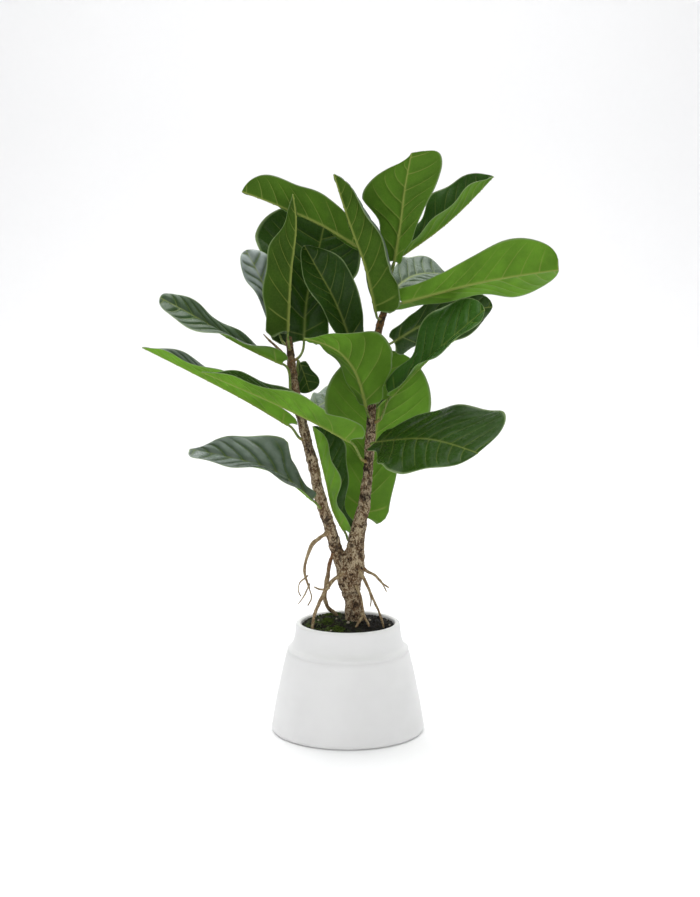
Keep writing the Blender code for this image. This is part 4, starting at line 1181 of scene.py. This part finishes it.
def distance_to_limb(points, limb):
    """Distance from each point to a limb's skin: to the nearest of its axis samples, less its radius."""
    flat = points.reshape(-1, 3)
    best = np.full(len(flat), 1.0)
    for sample in sampled(limb, 160):
        best = np.minimum(best, np.linalg.norm(flat - sample[:3], axis=1) - sample[3])
    return best.reshape(points.shape[:-1])


def grow_limb(body, limb, other, wood, sides, step, seed):
    """A limb: rings square to its axis, each point at the limb's radius and a height from it.

    The height is relief x bark + scar x rings + a step - a groove at the seam + a fillet, which is a
    squared smoothstep of how near the other limb's skin is.
    """
    samples = sampled(limb, round(path_length(sampled(limb, 200)) / step))
    path = samples[:, :3]
    radius = samples[:, 3]
    spokes = spokes_round(path, sides)
    skin = path[:, None] + spokes * radius[:, None, None]
    height = skin[..., 2]
    bark = bark_height(skin, seed)
    rings = scar_rings(height + 0.0016 * noise(skin, 0.012, seed + 5))
    young = smoothstep((height - YOUNG_HEIGHT) / YOUNG_SPAN)
    relief = wood.relief * (1.0 - 0.55 * young) * np.minimum(1.0, radius / 0.006)[:, None]
    seam = bell((height - SEAM_HEIGHT - SEAM_SWAY * noise(skin, 0.01, seed + 6)) / SEAM_WIDTH)
    ledge = SEAM_STEP * smoothstep((height - SEAM_HEIGHT) / 0.002)
    gap = distance_to_limb(skin, other)
    fillet = FILLET * smoothstep(1.0 - gap / FILLET_REACH) ** 2
    raised = relief * bark + wood.scar * rings + ledge - SEAM_DEPTH * seam + fillet
    skin = skin + spokes * raised[..., None]
    skin[-1] = path[-1] + (skin[-1] - path[-1]) * 0.55
    # Darker where the bark's relief sinks lowest, and along the seam's groove.
    pit = smoothstep((-bark - 0.22) / 0.35) * 0.85 + 0.7 * seam
    body.add_tube(skin, young=young, pit=np.clip(pit, 0.0, 1.0))


def grow_root(name, runs, seed):
    """An aerial root: tubes whose radius is the run's own, times a flare, times knots of noise.

    The flare is 1 + f exp(-(distance / 5 mm)^2) from where the run leaves the wood, and each run's
    path sways by noise that grows from nothing at its seat.
    """
    body = Body("worn")
    for number, run in enumerate(runs):
        points = np.asarray(run, float) * MM
        inward = unit(points[0, :3] - points[1, :3])
        seat = points[0].copy()
        seat[:3] += inward * ROOT_INSET
        points = np.concatenate([[seat], points])
        count = max(12, round(path_length(points) / ROOT_STEP))
        samples = smooth_path(points, even(count))
        path = samples[:, :3]
        bend = [noise(path + 0.1 * axis, 0.011, seed + number + axis) for axis in range(3)]
        free = smoothstep(even(len(path)) * 4.0)[:, None]
        path = path + np.stack(bend, axis=-1) * free * 0.7 * MM
        spokes = spokes_round(path, RING_SIDES["root"])
        along = np.linalg.norm(path - path[0], axis=1)
        flare = 1.0 + (0.9 if number == 0 else 0.35) * bell(along / (5.0 * MM))
        knots = 1.0 + 0.14 * noise(path, 0.006, seed + 20 + number)
        radius = samples[:, 3] * flare * knots
        skin = path[:, None] + spokes * radius[:, None, None]
        skin = skin + spokes * (bark_height(skin, seed) * 0.28 * samples[:, 3, None])[..., None]
        skin[-1] = path[-1] + (skin[-1] - path[-1]) * 0.4
        worn = smoothstep((noise(path, 0.016, seed + 9) - 0.25) / 0.35)
        body.add_tube(skin, worn=worn[:, None])
    piece = body.build(name + "_grown", [finish("root_skin")], sharp_angle=60.0)
    place(piece, "root", name)


# ---------------------------------------------------------------- pot and soil


def pot_profile():
    """Dense (radius, height) points round the pot's wall, from under its base over the lip to its floor.

    The outside is a smooth curve through the outline, the lip is a half circle as wide as the wall,
    and the inside follows the outside at the wall's thickness.
    """
    outline = np.array(POT_OUTLINE, float) * MM
    base = np.linspace(outline[0], outline[2], 12)[:-1]
    curve = smooth_path(np.pad(outline[2:], ((0, 0), (0, 1))), even(150))[:, :2]
    lip = POT_WALL / 2.0
    turn = np.linspace(0.0, math.pi, 18)[1:-1]
    rim_height = POT_HIGH[2] - lip
    centre = curve[-1, 0] - lip
    rim = np.stack([centre + lip * np.cos(turn), rim_height + lip * np.sin(turn)], axis=-1)
    inner = curve[(curve[:, 1] > POT_FLOOR) & (curve[:, 1] < rim_height)][::-1] - (POT_WALL, 0.0)
    inner[:, 0] = np.minimum(inner[:, 0], curve[0, 0] - POT_WALL - 3.0 * MM)
    floor = np.linspace((inner[-1, 0], POT_FLOOR), (0.0, POT_FLOOR), 10)
    return np.concatenate([base, curve, [[curve[-1, 0], rim_height]], rim, inner, floor])


def inner_radius(height):
    """The pot's inner radius at a height."""
    outline = np.array(POT_OUTLINE[4:], float) * MM
    return np.interp(height, outline[:, 1], outline[:, 0]) - POT_WALL


def soil_height(distance):
    """Height of the soil's domed surface: edge + dome (1 - (distance / edge radius)^2)."""
    edge = inner_radius(SOIL_EDGE_HEIGHT)
    return SOIL_EDGE_HEIGHT + SOIL_DOME * (1.0 - (distance / edge) ** 2)


def soil_clods(points):
    """Height of the clods at points on the soil, from about -1 to 1."""
    return sum(
        share * noise(points, size, CLOD_SEED + number) for number, (share, size) in enumerate(CLODS))


def moss_share(points):
    """How mossy the soil is: most on the left, none on the right."""
    spread = noise(points, 0.018, MOSS_FILM_SEED)
    return np.clip(smoothstep((0.022 - points[..., 0]) / 0.04) * (0.75 + 0.8 * spread), 0.0, 1.0)


def rough_stones(count, seed, low, high):
    """Rough stones: octahedra split once, each jittered, squashed and turned its own way, unplaced.

    Gives the points as (count, points of a stone, 3), the faces of one stone and the random source.
    """
    corners = np.array([(1, 0, 0), (-1, 0, 0), (0, 1, 0), (0, -1, 0), (0, 0, 1), (0, 0, -1)], float)
    faces = [(4, 0, 2), (4, 2, 1), (4, 1, 3), (4, 3, 0), (5, 2, 0), (5, 1, 2), (5, 3, 1), (5, 0, 3)]
    points = list(corners)
    middles = {}
    split = []
    for face in faces:
        mids = []
        for first, second in zip(face, face[1:] + face[:1]):
            key = (min(first, second), max(first, second))
            if key not in middles:
                middles[key] = len(points)
                points.append(unit(points[first] + points[second]))
            mids.append(middles[key])
        split += [
            (face[0], mids[0], mids[2]), (face[1], mids[1], mids[0]), (face[2], mids[2], mids[1]),
            tuple(mids)]
    rng = np.random.default_rng(seed)
    shape = np.array(points)[None] * rng.uniform(0.72, 1.2, (count, len(points), 1))
    shape = shape * rng.uniform(0.45, 1.0, (count, 1, 3))
    turn = rng.uniform(0.0, math.tau, count)
    tilt = rng.uniform(-0.6, 0.6, count)
    across, ahead, level, rise = np.cos(turn), np.sin(turn), np.cos(tilt), np.sin(tilt)
    spin = np.array([
        [across, -ahead, np.zeros(count)],
        [ahead * level, across * level, -rise],
        [ahead * rise, across * rise, level],
    ])
    shape = np.einsum("ijn,nkj->nki", spin, shape)
    size = low + (high - low) * rng.random(count) ** 2.5
    return shape * size[:, None, None], np.array(split), rng


def scatter_disc(rng, count, radius):
    """Random places in a disc, even by area, as (count, 2)."""
    turn = rng.uniform(0.0, math.tau, count)
    distance = radius * np.sqrt(rng.random(count))
    return np.stack([distance * np.cos(turn), distance * np.sin(turn)], axis=-1)


def on_soil(flat, lift=0.0):
    """Points on the clodded soil above flat places."""
    ground = soil_height(np.linalg.norm(flat, axis=-1))
    points = np.concatenate([flat, ground[..., None]], axis=-1)
    points[..., 2] += bpy.context.scene.fig_pot.clod * soil_clods(points) + lift
    return points


def grow_moss(name, pad, seed):
    """A moss pad: a low cushion on the soil with short leaning spindles all over it.

    The cushion's outline is an ellipse times 1 + two sine waves round it, and it rises over the soil
    by thickness (1 - share^2), where the share goes from 0 in its middle to 1 at its edge.
    """
    direction, distance, length, width, thickness = pad
    along = np.array([math.cos(math.radians(direction)), math.sin(math.radians(direction))])
    across = np.array([-along[1], along[0]])
    turn = np.linspace(0.0, math.tau, 72, endpoint=False)
    share = np.linspace(0.02, 1.0, 22)[:, None]
    wobble = 1.0 + 0.16 * np.sin(3.0 * turn + direction) + 0.1 * np.sin(7.0 * turn)
    flat = along * distance * MM
    flat = flat + (share * np.cos(turn) * width * wobble * MM)[..., None] * along
    flat = flat + (share * np.sin(turn) * length * wobble * MM)[..., None] * across
    points = on_soil(flat)
    rise = thickness * MM * (1.0 - share**2) + 0.4 * MM * noise(points, 0.002, seed)
    points[..., 2] += rise - 0.3 * MM
    low = points - (0.0, 0.0, 1.6 * MM)
    body = Body("tip")
    loops = np.concatenate([low, points[::-1]])
    body.add_tube(loops[:, ::-1])
    rng = np.random.default_rng(seed)
    picked = points[rng.integers(0, 20, SPINDLES), rng.integers(0, 72, SPINDLES)]
    lean = unit(np.concatenate([rng.normal(0.0, 0.45, (SPINDLES, 2)), np.ones((SPINDLES, 1))], axis=1))
    tall = rng.uniform(0.8, 2.0, (SPINDLES, 1)) * MM
    side = unit(np.cross(lean, X_AXIS))
    front = np.cross(lean, side)
    waist = picked + lean * tall * 0.4
    thin = 0.22 * MM
    corners = [
        picked, waist + side * thin, waist + front * thin, waist - side * thin, waist - front * thin,
        picked + lean * tall]
    tips = np.tile((0.0, 0.5, 0.5, 0.5, 0.5, 1.0), (SPINDLES, 1))
    first = body.add_points(np.stack(corners, axis=1), tip=tips)
    spindle = np.array([
        (0, 2, 1), (0, 3, 2), (0, 4, 3), (0, 1, 4), (5, 1, 2), (5, 2, 3), (5, 3, 4), (5, 4, 1)])
    body.add_copies(spindle, first, len(corners), SPINDLES)
    place(body.build(name + "_grown", [finish("moss")]), "moss", name)


# ---------------------------------------------------------------- operators


class FIG_OT_pot(bpy.types.Operator):
    """Turn the ceramic pot"""

    bl_idname = "fig.pot"
    bl_label = "Pot"

    def execute(self, context):
        marks = context.scene.fig_pot.hand_marks
        radius, height = np.split(pot_profile()[1:-1], 2, axis=1)
        radius = radius + marks * np.sin(height / WHEEL_MARK) * smoothstep(radius / 0.05)
        # Where the painted shade in the groove falls.
        groove = bell((height - GROOVE_HEIGHT) / GROOVE_WIDTH) * (radius > GROOVE_RADIUS)
        body = Body("groove")
        body.add_tube(rings_round_z(radius, height, RING_SIDES["pot"]), groove=groove)
        place(body.build("pot_turned", [finish("ceramic")]), "ceramic", "pot")
        return {"FINISHED"}


class FIG_OT_soil(bpy.types.Operator):
    """Fill the pot with soil and strew crumbs on it"""

    bl_idname = "fig.soil"
    bl_label = "Soil"

    def execute(self, context):
        edge = inner_radius(SOIL_EDGE_HEIGHT) - 0.4 * MM
        distance = edge * np.linspace(1.0, 0.01, 84)[:, None]
        top = on_soil(rings_round_z(distance, 0.0, RING_SIDES["soil"])[..., :2])
        height = np.array(SOIL_WALL_HEIGHTS)[:, None]
        radius = np.minimum(inner_radius(height) - 0.6 * MM, POT_HIGH[0] - POT_WALL - 4.0 * MM)
        loops = np.concatenate([rings_round_z(radius, height, RING_SIDES["soil"]), top])
        body = Body("moss")
        body.add_tube(loops, moss=moss_share(loops))
        place(body.build("soil_bed", [finish("soil")]), "soil", "soil")
        self.strew_crumbs(context.scene.fig_pot.crumbs, edge - 2.0 * MM)
        return {"FINISHED"}

    def strew_crumbs(self, count, radius):
        """Loose crumbs and grit, half sunk in the soil."""
        stones, faces, rng = rough_stones(count, CRUMB_SEED, *CRUMB_SIZES)
        points = stones + on_soil(scatter_disc(rng, count, radius), 0.2 * MM)[:, None]
        body = Body("shade")
        first = body.add_points(points, shade=np.repeat(rng.random(count), points.shape[1]))
        body.add_copies(faces, first, points.shape[1], count)
        crumbs = body.build("soil_crumbs", [finish("crumbs")], sharp_angle=30.0)
        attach(crumbs, BODY)


class FIG_OT_moss(bpy.types.Operator):
    """Lay the moss pads on the soil"""

    bl_idname = "fig.moss"
    bl_label = "Moss"

    def execute(self, context):
        for number, (name, pad) in enumerate(MOSS_PADS.items()):
            grow_moss(name, pad, MOSS_PAD_SEED + number)
        return {"FINISHED"}


class FIG_OT_wood(bpy.types.Operator):
    """Grow the trunk and its two stems as one piece of wood"""

    bl_idname = "fig.wood"
    bl_label = "Trunk and stems"

    def execute(self, context):
        wood = context.scene.fig_wood
        body = Body("young", "pit")
        grow_limb(body, LIMB_RIGHT, LIMB_LEFT, wood, RING_SIDES["right"], 0.95 * MM, BARK_SEED)
        grow_limb(body, LIMB_LEFT, LIMB_RIGHT, wood, RING_SIDES["left"], 0.85 * MM, BARK_SEED + 10)
        piece = body.build("wood_grown", [finish("bark")], sharp_angle=70.0)
        place(piece, "bark", "trunk", "stem_left", "stem_right")
        return {"FINISHED"}


class FIG_OT_roots(bpy.types.Operator):
    """Grow the aerial roots and the bare stub"""

    bl_idname = "fig.roots"
    bl_label = "Roots"

    def execute(self, context):
        for number, (name, runs) in enumerate(ROOTS.items()):
            grow_root(name, runs, ROOT_SEED + 7 * number)
        for number, (name, run) in enumerate(TWIGS.items()):
            grow_root(name, (run,), TWIG_SEED + number)
        return {"FINISHED"}


class FIG_OT_leaves(bpy.types.Operator):
    """Grow every leaf on its stalk"""

    bl_idname = "fig.leaves"
    bl_label = "Leaves"

    def execute(self, context):
        for number, leaf in enumerate(LEAVES):
            grow_leaf(leaf, context.scene.fig_leaf, LEAF_SEED + 3 * number)
        return {"FINISHED"}


class FIG_OT_stage(bpy.types.Operator):
    """Set the floor, the soft lights and the camera"""

    bl_idname = "fig.stage"
    bl_label = "Stage"

    def execute(self, context):
        stage = context.scene.fig_stage
        context.scene.view_settings.view_transform = "Standard"
        self.lay_paper(stage)
        self.hang_lights(stage)
        self.fill_air(stage)
        self.aim_camera(context, stage)
        return {"FINISHED"}

    def lay_paper(self, stage):
        """A paper sweep: a flat floor, a quarter circle up from it, and a wall."""
        width, front, back, bend, tall = 4.0, -2.6, 1.6, 0.8, 2.6
        turn = np.linspace(0.0, math.pi / 2.0, 20)
        low = np.stack([back + bend * np.sin(turn), bend * (1.0 - np.cos(turn))], axis=-1)
        line = np.concatenate([[(front, 0.0)], low, [(back + bend, tall)]])
        across = np.linspace(-width, width, 9)
        points = np.zeros((len(line), len(across), 3))
        points[..., 0] = across
        points[..., 1:] = line[:, None]
        body = Body()
        body.add_points(points)
        body.add_faces(grid_quads(len(line), len(across)))
        body.build("paper_sweep", [finish("backdrop_paper")])

    def hang_lights(self, stage):
        """Soft boxes: one overhead, one at each side of the camera and one that lights the wall."""
        boxes = (
            ("overhead_box", stage.overhead_power, 2.2, (0.0, 0.55, 2.3), (0.0, 0.0, 0.40)),
            ("front_left_box", stage.fill_power, 1.5, (-0.75, -2.3, 1.35), (0.0, 0.0, 0.25)),
            ("front_right_box", stage.fill_power * 0.8, 1.5, (0.75, -2.3, 1.35), (0.0, 0.0, 0.25)),
            ("backdrop_box", stage.backdrop_power, 1.6, (0.0, 0.9, 2.7), (0.0, 2.4, 1.3)),
        )
        for name, power, size, where, target in boxes:
            data = bpy.data.lights.new(name, "AREA")
            data.energy = power
            data.size = size
            lamp = bpy.data.objects.new(name, data)
            bpy.context.scene.collection.objects.link(lamp)
            lamp.location = where
            aim = np.array(target) - np.array(where)
            lamp.rotation_euler = (
                math.acos(-aim[2] / np.linalg.norm(aim)), 0.0, math.atan2(aim[1], aim[0]) - math.pi / 2.0)

    def fill_air(self, stage):
        """The air: pale behind the plant and overhead, dimmer in front of it."""
        world = bpy.data.worlds.new("pale_air")
        world.use_nodes = True
        nodes = Nodes(world.node_tree)
        direction = nodes.new("ShaderNodeTexCoord").outputs["Generated"]
        toward = nodes.new("ShaderNodeSeparateXYZ", Vector=direction).outputs
        lean = nodes.math("ADD", toward["Y"], nodes.math("MULTIPLY", toward["Z"], 0.5))
        sky = world.node_tree.nodes["Background"]
        sky.inputs["Color"].default_value = (0.965, 0.97, 1.0, 1.0)
        nodes.feed(sky.inputs["Strength"], nodes.fade(lean, -0.6, 0.7, stage.front_air, stage.back_air))
        bpy.context.scene.world = world

    def aim_camera(self, context, stage):
        """The camera looks along +Y, a little downwards."""
        data = bpy.data.cameras.new("camera")
        data.lens = stage.lens
        camera = bpy.data.objects.new("camera", data)
        context.scene.collection.objects.link(camera)
        camera.location = stage.camera_place
        camera.rotation_euler = (math.pi / 2.0 - stage.camera_pitch, 0.0, 0.0)
        context.scene.camera = camera


class FIG_PT_panel(bpy.types.Panel):
    """Lists what the fig is made of"""

    bl_label = "Fiddle Leaf Fig"
    bl_idname = "FIG_PT_panel"
    bl_space_type = "VIEW_3D"
    bl_region_type = "UI"
    bl_category = "Fig"

    def draw(self, context):
        for operator in OPERATORS:
            self.layout.operator(operator.bl_idname)
        for holder in SETTINGS:
            box = self.layout.box()
            box.label(text=holder.removeprefix("fig_").title())
            group = getattr(context.scene, holder)
            for name in SETTINGS[holder].__annotations__:
                box.prop(group, name)


SETTINGS = {
    "fig_leaf": FigLeafSettings,
    "fig_wood": FigWoodSettings,
    "fig_pot": FigPotSettings,
    "fig_stage": FigStageSettings,
}
OPERATORS = (FIG_OT_pot, FIG_OT_soil, FIG_OT_moss, FIG_OT_wood, FIG_OT_roots, FIG_OT_leaves, FIG_OT_stage)


def register():
    """Makes the classes known, and gives the scene its settings."""
    for kind in (*SETTINGS.values(), *OPERATORS, FIG_PT_panel):
        bpy.utils.register_class(kind)
    for holder, kind in SETTINGS.items():
        setattr(bpy.types.Scene, holder, bpy.props.PointerProperty(type=kind))


def unregister():
    """Takes away what register made, in the reverse order."""
    for holder in SETTINGS:
        delattr(bpy.types.Scene, holder)
    for kind in (FIG_PT_panel, *reversed(OPERATORS), *reversed(SETTINGS.values())):
        bpy.utils.unregister_class(kind)


def main():
    """Builds the fig on its stage."""
    register()
    bpy.ops.fig.pot()
    bpy.ops.fig.soil()
    bpy.ops.fig.moss()
    bpy.ops.fig.wood()
    bpy.ops.fig.roots()
    bpy.ops.fig.leaves()
    bpy.ops.fig.stage()


if __name__ == "__main__":
    main()
